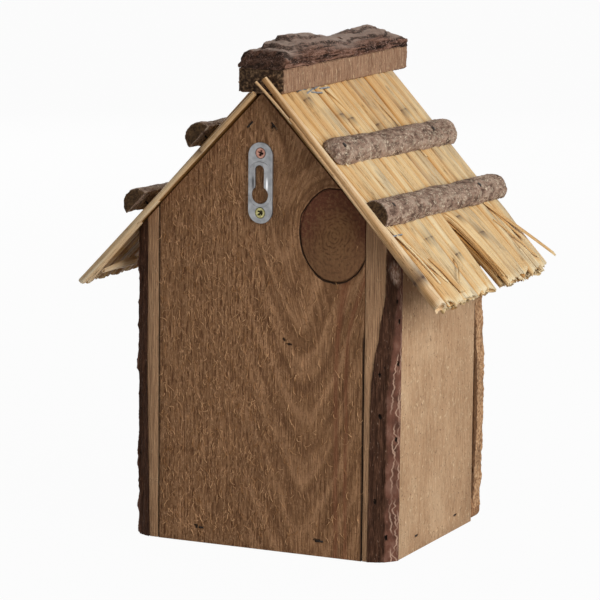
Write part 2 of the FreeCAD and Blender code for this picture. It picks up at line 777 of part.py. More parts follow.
def make_hanger_plate():
    body = new_body("hanger_plate")
    low, high = "hanger_height - hanger_end", "hanger_height + hanger_end"
    sketch = sketch_on(body, "XZ_Plane", "rear_y", "plate_face_y")
    draw_stadium(sketch, "0", low, high, "hanger_width / 2")
    pad(body, sketch, "rear_y", "plate_face_y")

    boss_top = "hanger_height + boss_rise"
    sketch = sketch_on(body, "XZ_Plane", "rear_y", "boss_face_y")
    draw_stadium(sketch, "0", "keyhole_height", boss_top, "boss_width / 2")
    pad(body, sketch, "rear_y", "boss_face_y")
    sketch = sketch_on(body, "XZ_Plane", "rear_y", "rear_y + boss_height")
    draw_stadium(sketch, "0", "keyhole_height", boss_top, "boss_width / 2 - hanger_thickness")
    cut(body, sketch, "boss_height")

    sketch = sketch_on(body, "XZ_Plane", "rear_y", "boss_face_y")
    draw_stadium(sketch, "0", "keyhole_height", "hanger_height + slot_rise", "slot_width / 2")
    cut(body, sketch, "boss_face_y - rear_y")
    sketch = sketch_on(body, "XZ_Plane", "rear_y", "boss_face_y")
    draw_circle(sketch, "0", "keyhole_height", "keyhole_diameter / 2")
    cut(body, sketch, "boss_face_y - rear_y")

    for turn in (1, -1):
        sketch = sketch_on(body, "YZ_Plane", "0", "0")
        bind(sketch, "AttachmentOffset.Base.y", f"hanger_height + {turn} * screw_spacing / 2")
        mouth = "screw_head + fastener_clearance"
        draw_outline(sketch, [
            ("rear_y", "0"),
            ("plate_face_y", "0"),
            ("plate_face_y", mouth),
            (f"plate_face_y - ({mouth} - screw_shank)", "screw_shank + fastener_clearance"),
            ("rear_y", "screw_shank + fastener_clearance")])
        revolve(body, sketch, "Groove", "H_Axis")
    return finish(body)


def make_screw(label, turn):
    """Countersunk wood screw with a cross recess, its head level with the plate."""
    body = new_body(label)
    sketch = sketch_on(body, "XZ_Plane", "0", "0")
    draw_outline(sketch, [("0", "-screw_length"), ("screw_shank", "2 * screw_shank - screw_length"),
                          ("screw_shank", "screw_shank - screw_head"), ("screw_head", "0"), ("0", "0")])
    revolve(body, sketch)
    sketch = sketch_on(body, "XY_Plane", "-cross_depth", "0")
    near, far = "cross_width / 2", "cross_span / 2"
    quarter = [(far, f"-{near}"), (far, near), (near, near)]
    corners = []
    for _ in range(4):
        corners += quarter
        quarter = [(f"-({v})", u) for u, v in quarter]
    draw_outline(sketch, corners)
    cut(body, sketch, "cross_depth")
    bind(body, "Placement",
         f"placement(vector(0; plate_face_y; hanger_height + {turn} * screw_spacing / 2);"
         " rotation(vector(1; 0; 0); -90))")
    return finish(body)


# Staples and nails

def make_staple(label, crown, wire, leg):
    """A flat-wire staple: crown along X at the top, legs down -Z."""
    body = new_body(label)
    outer, inner = f"({crown}) / 2", f"({crown}) / 2 - {wire}"
    sketch = sketch_on(body, "XZ_Plane", f"-{wire} / 2", f"{wire} / 2")
    draw_outline(sketch, [
        (f"-({outer})", f"-{leg}"), (f"-({inner})", f"-{leg}"),
        (f"-({inner})", f"-{wire}"), (inner, f"-{wire}"),
        (inner, f"-{leg}"), (outer, f"-{leg}"),
        (outer, "0"), (f"-({outer})", "0")])
    pad(body, sketch, f"-{wire} / 2", f"{wire} / 2")
    return body


NAIL_SIDES = 8


def make_nail(label, length):
    body = new_body(label)
    for low, high, radius in ((f"-{length}", "-nail_head_height", "nail_diameter / 2"),
                              ("-nail_head_height", "0", "nail_head_diameter / 2")):
        sketch = sketch_on(body, "XY_Plane", low, high)
        draw_polygon(sketch, radius, NAIL_SIDES)
        pad(body, sketch, low, high)
    return body


TURN_TO_REAR = "rotation(vector(1; 0; 0); -90)"
TURN_TO_FRONT = "rotation(vector(1; 0; 0); 90)"
TURN_TO_WALL = {RIGHT: "rotation(vector(1; 1; 1); 120)", LEFT: "rotation(vector(-1; -1; 1); 120)"}
TURN_UPRIGHT_TO_FRONT = "rotation(vector(1; -1; 1); 120)"


def make_board_staples():
    staple = make_staple("board_staple", "staple_crown", "staple_wire_thickness", "staple_leg_length")
    rear, front = "rear_y - staple_sink", "front_outer_y + staple_sink"
    floor = []
    for x in FLOOR_STAPLES:
        floor.append(f"placement(vector({x}; {rear}; floor_middle); {TURN_TO_REAR})")
        floor.append(f"placement(vector({x}; {front}; floor_middle); {TURN_TO_FRONT})")
    for side in (LEFT, RIGHT):
        x = mirror(side, "outer_x - staple_sink")
        floor += [f"placement(vector({x}; {y}; floor_middle); {TURN_TO_WALL[side]})" for y in WALL_STAPLES]
    group("floor_staples", [copy_at(staple, place) for place in floor])

    roof = []
    for side in (LEFT, RIGHT):
        x, z = slope_point(side, "roof_staple_drop", "-roof_board_thickness / 2")
        tilt = f"rotation(vector(0; 1; 0); {mirror(side, 'roof_pitch')})"
        roof.append(f"placement(vector({x}; {rear}; {z}); {tilt} * {TURN_TO_REAR})")
        roof.append(f"placement(vector({x}; {front}; {z}); {tilt} * {TURN_TO_FRONT})")
    group("roof_board_staples", [copy_at(staple, place) for place in roof])

    walls = []
    for side in (LEFT, RIGHT):
        x = mirror(side, "wall_middle")
        walls += [f"placement(vector({x}; {front}; {z}); {TURN_UPRIGHT_TO_FRONT})" for z in FRONT_STAPLES]
    group("front_panel_staples", [copy_at(staple, place) for place in walls])


def make_thatch_staples():
    crown = f"{STEMS_UNDER_CROWN} * reed_pitch + thatch_wire_thickness"
    staple = make_staple("thatch_staple", crown, "thatch_wire_thickness", "thatch_leg_length")
    for label, side in (("left_thatch_staples", LEFT), ("right_thatch_staples", RIGHT)):
        copies = []
        for gap, drop in thatch_staple_legs(side):
            middle = slope_y(side, gap_y(gap + STEMS_UNDER_CROWN / 2))
            spot = f"vector({drop}; {middle}; thatch_top + thatch_wire_thickness)"
            copies.append(copy_at(staple, f"placement({spot}; rotation(vector(0; 0; 1); 90))"))
        group(label, copies, slope_frame(side))


def make_nails():
    nail = make_nail("batten_nail", "batten_nail_length")
    places = []
    for label, (side, _, _, _) in BATTENS.items():
        for y in (REAR_NAIL, FRONT_NAIL):
            spot = f"vector({batten_line(label, y)}; {slope_y(side, y)}; batten_nail_head)"
            places.append(f"{slope_frame(side)} * placement({spot}; rotation(vector(0; 0; 1); 0))")
    group("batten_nails", [copy_at(nail, place) for place in places])

    nail = make_nail("ridge_nail", "ridge_nail_length")
    spots = [f"vector({x}; {y}; slab_top + nail_head_height)" for x, y in RIDGE_NAILS]
    places = [f"placement({spot}; rotation(vector(0; 0; 1); 0))" for spot in spots]
    group("ridge_nails", [copy_at(nail, place) for place in places])


# The whole box

make_back_panel()
make_front_panel()
make_floor()
for word, hand in (("left", LEFT), ("right", RIGHT)):
    make_side_wall(f"{word}_side_wall", hand)
    make_wall_bark(f"{word}_wall_bark", hand)
    make_front_bark(f"front_{word}_bark", hand)
    make_roof_board(f"{word}_roof_board", hand)
    make_stems(f"{word}_thatch_under", hand, "under")
    make_stems(f"{word}_thatch_top", hand, "top")
for batten in BATTENS:
    make_batten(batten)
make_ridge_slab()
make_ridge_bark()
make_hanger_plate()
make_screw("hanger_screw_upper", 1)
make_screw("hanger_screw_lower", -1)
make_board_staples()
make_thatch_staples()
make_nails()

DOC.recompute()
for item in DOC.Objects:
    if "Invalid" in item.State or "Error" in item.State:
        raise RuntimeError(f"{item.Label} failed: {item.State}")
for part in PARTS:
    if part.Shape.isNull() or not part.Shape.isValid() or not part.Shape.Solids:
        raise RuntimeError(f"{part.Label} has no valid solid")

os.makedirs("parts", exist_ok=True)
for part in PARTS:
    part.Shape.exportStep(f"parts/{part.Label}.step")
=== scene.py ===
import json
import math
import random
from functools import partial

import bpy
from mathutils import Matrix, Vector, noise

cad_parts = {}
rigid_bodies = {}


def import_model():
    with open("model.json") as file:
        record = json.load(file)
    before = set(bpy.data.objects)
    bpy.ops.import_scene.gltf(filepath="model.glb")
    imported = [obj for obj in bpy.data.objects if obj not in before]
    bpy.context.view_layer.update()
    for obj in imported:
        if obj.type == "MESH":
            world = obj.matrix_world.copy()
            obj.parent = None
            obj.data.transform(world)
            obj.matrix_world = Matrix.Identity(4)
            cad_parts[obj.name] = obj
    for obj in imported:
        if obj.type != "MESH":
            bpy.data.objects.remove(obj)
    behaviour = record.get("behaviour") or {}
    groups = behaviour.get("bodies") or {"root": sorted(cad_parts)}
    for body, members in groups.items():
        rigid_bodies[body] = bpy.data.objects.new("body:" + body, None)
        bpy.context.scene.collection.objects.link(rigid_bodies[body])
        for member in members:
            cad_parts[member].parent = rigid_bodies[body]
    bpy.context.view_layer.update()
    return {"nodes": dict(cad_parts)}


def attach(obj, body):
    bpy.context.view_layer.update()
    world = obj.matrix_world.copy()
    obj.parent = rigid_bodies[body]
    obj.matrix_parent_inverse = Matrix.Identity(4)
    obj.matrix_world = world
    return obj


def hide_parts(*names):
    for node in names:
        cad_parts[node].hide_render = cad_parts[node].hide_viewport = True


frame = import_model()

# Sizes in mm that the pieces share with the solids

MM = 0.001
APEX = 225
PITCH = math.radians(46.4)
RUN = math.cos(PITCH)
RISE = math.sin(PITCH)
REAR = 58
INNER = 55.5
OUTER = 70.5
WANE = 10
SLAB_TOP = 237
LEFT = -1
RIGHT = 1
SIDES = ((LEFT, "left"), (RIGHT, "right"))
THATCH_REAR = 65
THATCH_FRONT = -76
# Heights and widths of the sawn strip at the rear edge of each wall
STRIPS = {LEFT: ((0, 2.5), (82, 3.5), (128, 10.5), (166.7, 11)),
          RIGHT: ((0, 4.5), (82, 6), (128, 5.5), (166.7, 6))}
# Middle and half sizes of the knot: x, z, half width, half height
KNOT = (-39.1, 158.5, 18.4, 23)


def roof_point(side, s, y, n):
    """Place in metres of a point s mm down a slope, at y, n mm out of the roof boards."""
    return Vector((side * (s * RUN + n * RISE), y, APEX - s * RISE + n * RUN)) * MM


def smooth(low, high, value):
    """0 below low, 1 above high and a smooth step between."""
    share = min(max((value - low) / (high - low), 0), 1)
    return share * share * (3 - 2 * share)


def follow(points, at):
    """Value at a place between points (place, value), straight from one to the next."""
    for (low, first), (high, last) in zip(points, points[1:]):
        if at <= high:
            return first + (last - first) * max(at - low, 0) / (high - low)
    return points[-1][1]


def blob(x, y, z):
    """Noise from -1 to 1 with features about 1 unit wide."""
    return noise.noise(Vector((x, y, z)))


def grain(*sizes):
    """Scale of a pattern with features of these sizes in mm; 0 is for an axis that doesn't count."""
    return [1000 / size if size else 0 for size in sizes]


def spread(node):
    """Lowest and highest corner in mm of a solid."""
    points = [vertex.co / MM for vertex in frame["nodes"][node].data.vertices]
    return [Vector([pick(point[axis] for point in points) for axis in range(3)]) for pick in (min, max)]


# Modelling

MERGE_DISTANCE = 0.001
FLAT_ANGLE = math.radians(1)
SMOOTH_ANGLE = math.radians(38)
BEVEL_ANGLE = math.radians(40)


def make_active(piece):
    bpy.ops.object.select_all(action="DESELECT")
    piece.select_set(True)
    bpy.context.view_layer.objects.active = piece


def edit_where(piece, operator, chosen=None, kind="FACE", **settings):
    """Runs one edit-mode operator on the faces or edges that a test picks, or on all of them."""
    make_active(piece)
    bpy.ops.object.mode_set(mode="EDIT")
    bpy.ops.mesh.select_mode(type=kind)
    bpy.ops.mesh.select_all(action="DESELECT")
    bpy.ops.object.mode_set(mode="OBJECT")
    elements = piece.data.polygons if kind == "FACE" else piece.data.edges
    for element in elements:
        element.select = not chosen or chosen(element)
    bpy.ops.object.mode_set(mode="EDIT")
    operator(**settings)
    bpy.ops.object.mode_set(mode="OBJECT")


def face_outwards(piece):
    edit_where(piece, bpy.ops.mesh.normals_make_consistent, inside=False)


def add_modifier(piece, kind, **settings):
    """Adds a modifier with its settings and applies it."""
    make_active(piece)
    modifier = piece.modifiers.new(kind.lower(), kind)
    for name, value in settings.items():
        setattr(modifier, name, value)
    bpy.ops.object.modifier_apply(modifier=modifier.name)


def new_piece(label, mesh):
    """A new piece with its own copy of a mesh."""
    piece = bpy.data.objects.new(label, mesh.copy())
    bpy.context.scene.collection.objects.link(piece)
    return piece


def copy_node(node, label):
    """A copy of a solid's mesh, with its triangles merged into whole faces."""
    piece = new_piece(label, frame["nodes"][node].data)
    piece.data.materials.clear()
    edit_where(piece, bpy.ops.mesh.remove_doubles, threshold=MERGE_DISTANCE * MM)
    return piece


def make_rod(sides):
    """A rod of unit radius and length that stands on the origin."""
    bpy.ops.mesh.primitive_cylinder_add(vertices=sides, radius=1, depth=1, location=(0, 0, 0.5))
    rod = bpy.context.active_object
    make_active(rod)
    bpy.ops.object.transform_apply(location=True)
    return rod


def cut_lengths(rod, count):
    """Cuts the long edges of a rod into equal lengths."""
    points = rod.data.vertices
    edit_where(rod, bpy.ops.mesh.subdivide,
               lambda edge: abs(points[edge.vertices[0]].co.z - points[edge.vertices[1]].co.z) > 0.5,
               "EDGE", number_cuts=count - 1)


def join_pieces(pieces, label):
    """Joins pieces into the first of them."""
    make_active(pieces[0])
    for piece in pieces:
        piece.select_set(True)
    bpy.ops.object.join()
    pieces[0].name = label
    return pieces[0]


def keep_piece(piece, material, slot, *nodes):
    """Gives a finished piece its material and its smooth faces, fixes it to the root body and hides the
    nodes that it stands for.
    """
    make_active(piece)
    bpy.ops.object.shade_smooth_by_angle(angle=SMOOTH_ANGLE)
    piece.data.materials.clear()
    piece.data.materials.append(material)
    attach(piece, "root")
    if nodes:
        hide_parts(*nodes)
    return piece


def set_attribute(piece, name, values):
    """Writes one vector per point for the materials to read."""
    attribute = piece.data.attributes.new(name, "FLOAT_VECTOR", "POINT")
    attribute.data.foreach_set("vector", [number for value in values for number in value])


def dress_board(node, material, slot, edge):
    """A board: the solid's own shape with worn edges."""
    piece = copy_node(node, node + "_board")
    edit_where(piece, bpy.ops.mesh.dissolve_limited, angle_limit=FLAT_ANGLE)
    add_modifier(piece, "BEVEL", width=edge * MM, segments=2, limit_method="ANGLE", angle_limit=BEVEL_ANGLE)
    return keep_piece(piece, material, slot, node)


def rough_piece(node, label, voxel, move, material, slot):
    """A piece in a solid's shape, in small even faces, each point moved and marked by a formula in mm."""
    piece = copy_node(node, label)
    add_modifier(piece, "REMESH", mode="VOXEL", voxel_size=voxel * MM)
    marks = []
    normals = [vertex.normal.copy() for vertex in piece.data.vertices]
    for vertex, normal in zip(piece.data.vertices, normals):
        place, mark = move(vertex.co / MM, normal)
        vertex.co = place * MM
        marks.append(mark)
    set_attribute(piece, "bark", marks)
    piece.data.update()
    keep_piece(piece, material, slot, node)


# What the materials are made with

def hex_colour(text):
    """Linear colour from an sRGB hex value."""
    parts = [int(text[start:start + 2], 16) / 255 for start in (0, 2, 4)]
    return [part / 12.92 if part <= 0.04045 else ((part + 0.055) / 1.055) ** 2.4 for part in parts] + [1]


def add_node(tree, kind, *values, sockets=None, stops=(), **settings):
    """Adds a node of a kind, which may name its operation too, as in Math.ADD, with its settings; values go
    to its inputs in order, as links or constants."""
    kind, _, operation = kind.partition(".")
    node = tree.nodes.new("ShaderNode" + kind)
    if operation:
        settings["operation"] = operation
    for name, value in settings.items():
        setattr(node, name, value)
    for index, (position, colour) in enumerate(stops):
        ramp = node.color_ramp.elements
        stop = ramp[index] if index < 2 else ramp.new(position)
        stop.position = position
        stop.color = hex_colour(colour)
    pairs = list(zip([socket for socket in node.inputs if socket.enabled], values))
    pairs += [(node.inputs[name], value) for name, value in (sockets or {}).items()]
    for socket, value in pairs:
        if isinstance(value, bpy.types.Node):
            value = next(output for output in value.outputs if output.enabled)
        if isinstance(value, bpy.types.NodeSocket):
            tree.links.new(value, socket)
        else:
            socket.default_value = value
    return node


def empty_tree(owner):
    """Clears the nodes of a material or world and gives the call that adds one."""
    owner.use_nodes = True
    owner.node_tree.nodes.clear()
    return partial(add_node, owner.node_tree)


def new_material(name):
    """A material and the call that adds a node to it."""
    material = bpy.data.materials.new(name)
    return material, empty_tree(material)


def finish_material(material, node, colour, height, strength, depth, roughness, specular, metallic=0.0):
    """Gives a material its shader, with a bump whose depth is in mm."""
    bump = node("Bump", sockets={"Strength": strength, "Distance": depth * MM, "Height": height})
    node("OutputMaterial", node("BsdfPrincipled", sockets={
        "Base Color": colour, "Normal": bump, "Roughness": roughness, "Specular IOR Level": specular,
        "Metallic": metallic}))
    return material


def pattern(node, place, *sizes, detail=2, roughness=0.5, shift=(0, 0, 0)):
    """Noise with features of these sizes in mm along the axes, or of one size along all three."""
    scale = grain(*(sizes if len(sizes) == 3 else 3 * sizes))
    return node("TexNoise", node("Mapping", place, sockets={"Scale": scale, "Location": shift}),
                sockets={"Scale": 1, "Detail": detail, "Roughness": roughness})


def curled_pattern(node, place, sizes, curl, swing, detail, roughness):
    """Noise like that of pattern, stirred by another noise so that its lines curl."""
    stir = pattern(node, place, curl, detail=1).outputs["Color"]
    scaled = node("Mapping", place, sockets={"Scale": grain(*sizes)})
    return node("TexNoise", node("VectorMath.MULTIPLY_ADD", stir, swing, scaled),
                sockets={"Scale": 1, "Detail": detail, "Roughness": roughness})


def offset_from(node, place, centre, sizes):
    """How far a place lies from a centre in mm, counted along each axis in units of a size in mm."""
    away = node("VectorMath.SUBTRACT", place, [number * MM for number in centre])
    return node("VectorMath.MULTIPLY", away, grain(*sizes))


def contour(node, value, level, wide, slim, share, **settings):
    """A thin line where a pattern crosses a level: full within slim of it and gone beyond wide."""
    off = node("Math.ABSOLUTE", node("Math.SUBTRACT", value, level))
    return node("MapRange", off, wide, slim, 0, share, **settings)


def only_where(node, share, value, *span):
    """A share that grows or fades as another value goes through a span."""
    return node("Math.MULTIPLY", share, node("MapRange", value, *span))


def add_up(node, total, *parts):
    """A value with others added to it by their weights."""
    for value, weight in parts:
        total = node("Math.MULTIPLY_ADD", value, weight, total)
    return total


def lay_over(node, colour, *layers):
    """Lays shades over a colour in turn, each by a share, or as a value goes through a span."""
    for share, *span, shade in layers:
        share = node("MapRange", share, *span) if span else share
        shade = hex_colour(shade) if isinstance(shade, str) else shade
        colour = node("Mix", share, colour, shade, data_type="RGBA")
    return colour


def point_marks(node, name):
    """The three numbers that each point of a piece carries under a name."""
    return node("SeparateXYZ", node("Attribute", attribute_name=name).outputs["Vector"]).outputs


# Materials

def knot_heart(node, reach, aside, above, drift, wobble, ragged):
    """End grain of a knot: warm brown, redder up one side, with broken rings round its heart."""
    rings = node("Math.MULTIPLY", reach, 2 * math.pi * 10)
    rings = node("Math.SINE", add_up(node, rings, (drift, 14), (wobble, 20)))
    arcs = node("MapRange", rings, -0.4, 1, 0, 1)
    arcs = only_where(node, arcs, ragged, 0.56, 0.4, 0.15, 1)
    arcs = only_where(node, arcs, reach, 0.9, 0.4, 0.3, 0.65)
    low = node("MapRange", above, 4 * MM, -14 * MM, 0, 0.85, interpolation_type="SMOOTHSTEP")
    heart = node("ValToRGB", reach, stops=(
        (0, "86603F"), (0.45, "80593B"), (0.75, "744934"), (1, "704534")))
    return lay_over(node, heart, (node("Math.ADD", aside, above), 2 * MM, 24 * MM, 0, 0.6, "784936"),
                    (low, "8E6747"), (ragged, 0.5, 0.66, 0, 0.45, "9A7450"), (arcs, "4C3223"))


def sawn_wood(name, shades, pith, taper=0.3, fuzz=0.5, arches=0.4, knot=None, pits=(), turn=(0, 0, 0),
              stain_and_shade_bands=(), end=None, contrast=1.0, flecks=0.0, rear=None):
    """Rough-sawn softwood: soft arches of the rings, fine streaks and torn fibres that catch light."""
    dark, middle, light = shades
    material, node = new_material(name)
    place = node("Mapping", node("TexCoord").outputs["Object"], sockets={"Rotation": turn})
    board_x, y, z = node("SeparateXYZ", place).outputs
    x = board_x
    if knot:
        knot_x, knot_z, half_x, half_z = knot
        aside = node("Math.SUBTRACT", x, knot_x * MM)
        above = node("Math.SUBTRACT", z, knot_z * MM)
        wobble = pattern(node, place, 9)
        away = offset_from(node, place, (knot_x, 0, knot_z), (half_x, 0, half_z))
        wander = node("Math.MULTIPLY_ADD", wobble, 0.12, -0.06)
        reach = node("Math.ADD", node("VectorMath.LENGTH", away), wander)
        push = node("MapRange", reach, 0.9, 2.4, 0.6, 0, interpolation_type="SMOOTHSTEP")
        x = node("Math.SUBTRACT", x, node("Math.MULTIPLY", aside, push))
    flow = node("CombineXYZ", x, y, z)
    drift = pattern(node, flow, 30, 30, 70)
    radius = node("VectorMath.LENGTH", offset_from(node, flow, (*pith, 0), (1000, 1000, 0)))
    near_pith = node("MapRange", radius, 42 * MM, 18 * MM, 0.08, 1, interpolation_type="SMOOTHSTEP")
    cone = add_up(node, radius, (z, -taper), (drift, 12 * MM))
    fine, broad = (node("Math.SINE", node("Math.MULTIPLY", cone, 2 * math.pi * grain(size)[0]))
                   for size in (4.4, 11.5))
    ring = node("Math.MULTIPLY", add_up(node, fine, (broad, 2.2)), near_pith)
    streak = pattern(node, flow, 0.6, 0.6, 14, detail=4, roughness=0.62)
    torn = curled_pattern(node, flow, (0.85, 0.85, 5), 2.2, [1.1, 1.1, 0.6], 1.5, 0.5)
    lone = pattern(node, flow, 3.4, detail=1)
    patch = pattern(node, flow, 26, detail=3)
    ragged = pattern(node, place, 1.4, detail=3)
    hair = only_where(node, contour(node, torn, 0.53, 0.045, 0.012, fuzz), lone, 0.4, 0.6, 0.1, 1)
    pocket = node("MapRange", torn, 0.44, 0.3, 0, fuzz)
    if knot:
        hair, pocket = (only_where(node, share, board_x, -22 * MM, 4 * MM, 0.4, 1)
                        for share in (hair, pocket))
    colour = node("ValToRGB", streak, stops=(
        (0.52 - 0.22 / contrast, dark), (0.52, middle), (0.52 + 0.2 / contrast, light)))
    colour = lay_over(
        node, colour, (ring, 0.3, 2.6, 0, arches, dark), (ring, -0.3, -2.6, 0, arches * 0.8, light),
        (patch, 0.4, 0.75, 0, 0.5, middle), (pocket, dark), (hair, light),
        (pattern(node, place, 0.9), 0.43, 0.33, 0, 0.5 * fuzz, dark))
    height = add_up(node, streak, (torn, 1), (hair, 0.6))
    # Bands along the grain: real stains, and the painted shade of the gaps at the panel's edges
    for stain_x, width, stain, amount, wavy in stain_and_shade_bands:
        band = contour(node, add_up(node, x, (drift, wavy * MM)), stain_x * MM, width * MM, 0, amount,
                       interpolation_type="SMOOTHSTEP")
        colour = lay_over(node, colour, (band, stain))
    if flecks:
        spots = node("MapRange", pattern(node, flow, 1.5, 1.5, 3), 0.57, 0.68, 0, flecks)
        spots = only_where(node, spots, lone, 0.45, 0.62, 0.1, 1)
        colour = lay_over(
            node, colour, (patch, 0.48, 0.3, 0, 0.3 * flecks, dark),
            (patch, 0.52, 0.7, 0, 0.3 * flecks, light), (spots, "EFCFA6"),
            (ragged, 0.35, 0.28, 0, flecks, "6E5038"))
        height = add_up(node, height, (spots, 0.8))
    if rear:
        facing = node("SeparateXYZ", node("TexCoord").outputs["Normal"]).outputs[1]
        saw = pattern(node, flow, 0.5, 0.5, 18, detail=4, roughness=0.6)
        sawn = node("ValToRGB", saw, stops=zip((0.35, 0.52, 0.68), rear))
        colour = lay_over(node, colour, (facing, 0.5, 0.8, 0, 0.85, sawn))
    if knot:
        halo = node("Math.SINE", add_up(node, node("Math.MULTIPLY", reach, 2 * math.pi * 7), (drift, 9)))
        halo = only_where(node, node("MapRange", halo, 0.1, 1, 0, 1), reach, 1, 2.1, 0.6, 0)
        halo = only_where(node, halo, above, -25 * MM, 0, 0.15, 1)
        heart = knot_heart(node, reach, aside, above, drift, wobble, ragged)
        width = node("MapRange", above, 20 * MM, -20 * MM, 0.012, 0.03)
        crack = contour(node, reach, 1, width, 0.004, 0.95)
        colour = lay_over(node, colour, (halo, dark), (reach, 1.02, 0.99, 0, 1, heart), (crack, "24170F"))
        height = add_up(node, height, (crack, -2.5))
    for pit_x, pit_z, wide, tall in pits:
        spot = node("VectorMath.LENGTH", offset_from(node, flow, (pit_x, 0, pit_z), (wide, 0, tall)))
        spot = node("MapRange", add_up(node, spot, (ragged, 2.2)), 1.95, 1.6, 0, 0.95)
        colour = lay_over(node, colour, (spot, "1E130C"))
        height = add_up(node, height, (spot, -2))
    if end:
        rough = node("ValToRGB", ragged, stops=zip((0.35, 0.52, 0.72), end))
        colour = lay_over(node, colour, (point_marks(node, "bark")[1], rough))
    return finish_material(material, node, colour, height, 0.8, 0.55, 0.86, 0.15)


def flaky_bark(name, shades, flake, end, strings, curls, lift, span, plate_shade, mottle=0.0):
    """Dry bark: dark in its cracks, with curled edges of thin pale flakes and strings along the branch."""
    material, node = new_material(name)
    place = node("TexCoord").outputs["Object"]
    relief, cut, tint = point_marks(node, "bark")
    string = pattern(node, place, *strings, detail=4, roughness=0.6)
    scales = curled_pattern(node, place, curls, 2.4, [1.6, 1.6, 1.6], 2, 0.6)
    worn = pattern(node, place, 8, detail=4)
    level = add_up(node, relief, (string, 0.6), (worn, 0.4))
    lifted = contour(node, scales, 0.52, 0.05, 0.01, lift)
    lifted = only_where(node, lifted, pattern(node, place, 3.2), 0.42, 0.54, 0, 1)
    colour = node("ValToRGB", level, stops=zip((0.5 - span, 0.5, 0.5 + span), shades))
    colour = lay_over(
        node, colour, (scales, 0.42, 0.3, 0, lift, shades[0]), (lifted, flake),
        (only_where(node, tint, level, 0.28, 0.42, 0.3, 1), plate_shade),
        (worn, 0.48, 0.62, 0, mottle, flake), (cut, node("ValToRGB", string, stops=zip((0.35, 0.65), end))))
    height = add_up(node, scales, (lifted, 0.7), (string, 0.8))
    return finish_material(material, node, colour, height, 0.9, 0.7, 0.9, 0.12)


def corner_bark(name, bast_shades, bark_shades, gallery_shade, patches, galleries=()):
    """Bark left on a board's edge: dark stringy bast beside the sawn face, then smooth mauve outer bark
    with pale beetle galleries and small round holes."""
    material, node = new_material(name)
    place = node("TexCoord").outputs["Object"]
    relief, across, mark = point_marks(node, "bark")
    string = pattern(node, place, 0.5, 0.5, 7, detail=5, roughness=0.7)
    fleck = pattern(node, place, 0.8, 0.8, 2)
    worn = pattern(node, place, patches, detail=3)
    bast = node("ValToRGB", string, stops=zip((0.32, 0.52, 0.72), bast_shades))
    bark = node("ValToRGB", worn, stops=zip((0.3, 0.52, 0.75), bark_shades))
    colour = lay_over(node, bast, (add_up(node, across, (worn, 0.3)), 0.62, 0.72, 0, 1, bark),
                      (fleck, 0.66, 0.76, 0, 0.3, gallery_shade))
    height = add_up(node, string, (fleck, 0.5))
    for middle, swing in galleries:
        wave = pattern(node, place, 0, 0, 6, detail=2.5, roughness=0.6, shift=(0, 40 * middle, 0))
        path = node("Math.MULTIPLY_ADD", wave, swing, middle - swing / 2)
        lost = pattern(node, place, 0, 0, 12, shift=(3, 40 * middle, 5))
        line = only_where(node, contour(node, across, path, 0.036, 0.012, 0.65), lost, 0.44, 0.56, 0, 1)
        colour = lay_over(node, colour, (line, gallery_shade))
        height = add_up(node, height, (line, -0.5))
    scarred = node("ValToRGB", fleck, stops=((0.4, "8A6450"), (0.65, "D8BCA8")))
    colour = lay_over(node, colour, (relief, 0.1, -0.8, 0, 0.6, bast_shades[0]),
                      (mark, 0.15, 0.6, 0, 0.95, scarred), (mark, -0.2, -0.7, 0, 0.95, "120B07"))
    return finish_material(material, node, colour, height, 0.8, 0.6, 0.85, 0.15)


def dried_reed(name, shades):
    """Dried reed: a dull straw skin with long fine streaks and splits, grey where it has weathered, and dark
    brown marks at its joints."""
    material, node = new_material(name)
    stem = node("Attribute", attribute_name="stem").outputs["Vector"]
    tone, joint, grey = point_marks(node, "reed")
    fine = pattern(node, stem, 0.4, 0.4, 30, detail=4, roughness=0.65)
    broad = pattern(node, stem, 1.7, 1.7, 50, detail=3)
    cloud = pattern(node, stem, 4, 4, 14, detail=3)
    level = node("MapRange", add_up(node, tone, (broad, 0.7), (fine, 1.5)), 0.45, 1.95, 0, 1)
    split = only_where(node, contour(node, broad, 0.47, 0.016, 0.004, 0.75), cloud, 0.46, 0.56, 0, 1)
    colour = node("ValToRGB", level, stops=zip((0.1, 0.3, 0.5, 0.7, 0.9), shades))
    colour = lay_over(
        node, colour, (only_where(node, grey, cloud, 0.4, 0.62, 0.1, 0.75), "B9A585"), (split, "7E5526"),
        (pattern(node, stem, 0.9, detail=4), 0.63, 0.72, 0, 0.55, "8A6A44"),
        (only_where(node, joint, broad, 0.4, 0.55, 0.45, 1), "4E3628"))
    return finish_material(material, node, colour, add_up(node, fine, (split, -0.8)), 0.6, 0.4, 0.55, 0.22)


PLATE_MIDDLE = sum(corner.z for corner in spread("hanger_plate")) / 2
# Painted highlight and painted shade on the flanks beside the slot: x, height over the plate's middle, half
# width, shade and share
PLATE_PAINTED_HIGHLIGHT_AND_SHADE = ((-3.8, -0.6, 0.6, "FFFFFF", 0.9), (3.6, 0, 1.1, "38383A", 0.8))
FLANK_HEIGHT = 4


def zinc_sheet():
    """Galvanised sheet: dull grey zinc with faint cloudy crystals and fine rolling lines; beside the slot
    one flank carries a painted highlight and the other painted shade."""
    material, node = new_material("galvanised_sheet")
    place = node("TexCoord").outputs["Object"]
    cloud = pattern(node, place, 3.5, detail=3)
    colour = node("ValToRGB", cloud, stops=((0.3, "858688"), (0.7, "A9A9AA")))
    # Painted highlight on one flank and painted shade on the other, where a domed sheet would reflect light
    # and dark
    for x, z, wide, shade, share in PLATE_PAINTED_HIGHLIGHT_AND_SHADE:
        away = offset_from(node, place, (x, 0, PLATE_MIDDLE + z), (wide, 0, FLANK_HEIGHT))
        colour = lay_over(node, colour, (node("VectorMath.LENGTH", away), 1, 0.3, 0, share, shade))
    lines = pattern(node, place, 0.4, 0.4, 9)
    return finish_material(material, node, colour, lines, 0.25, 0.12, 0.5, 0.5, 1.0)


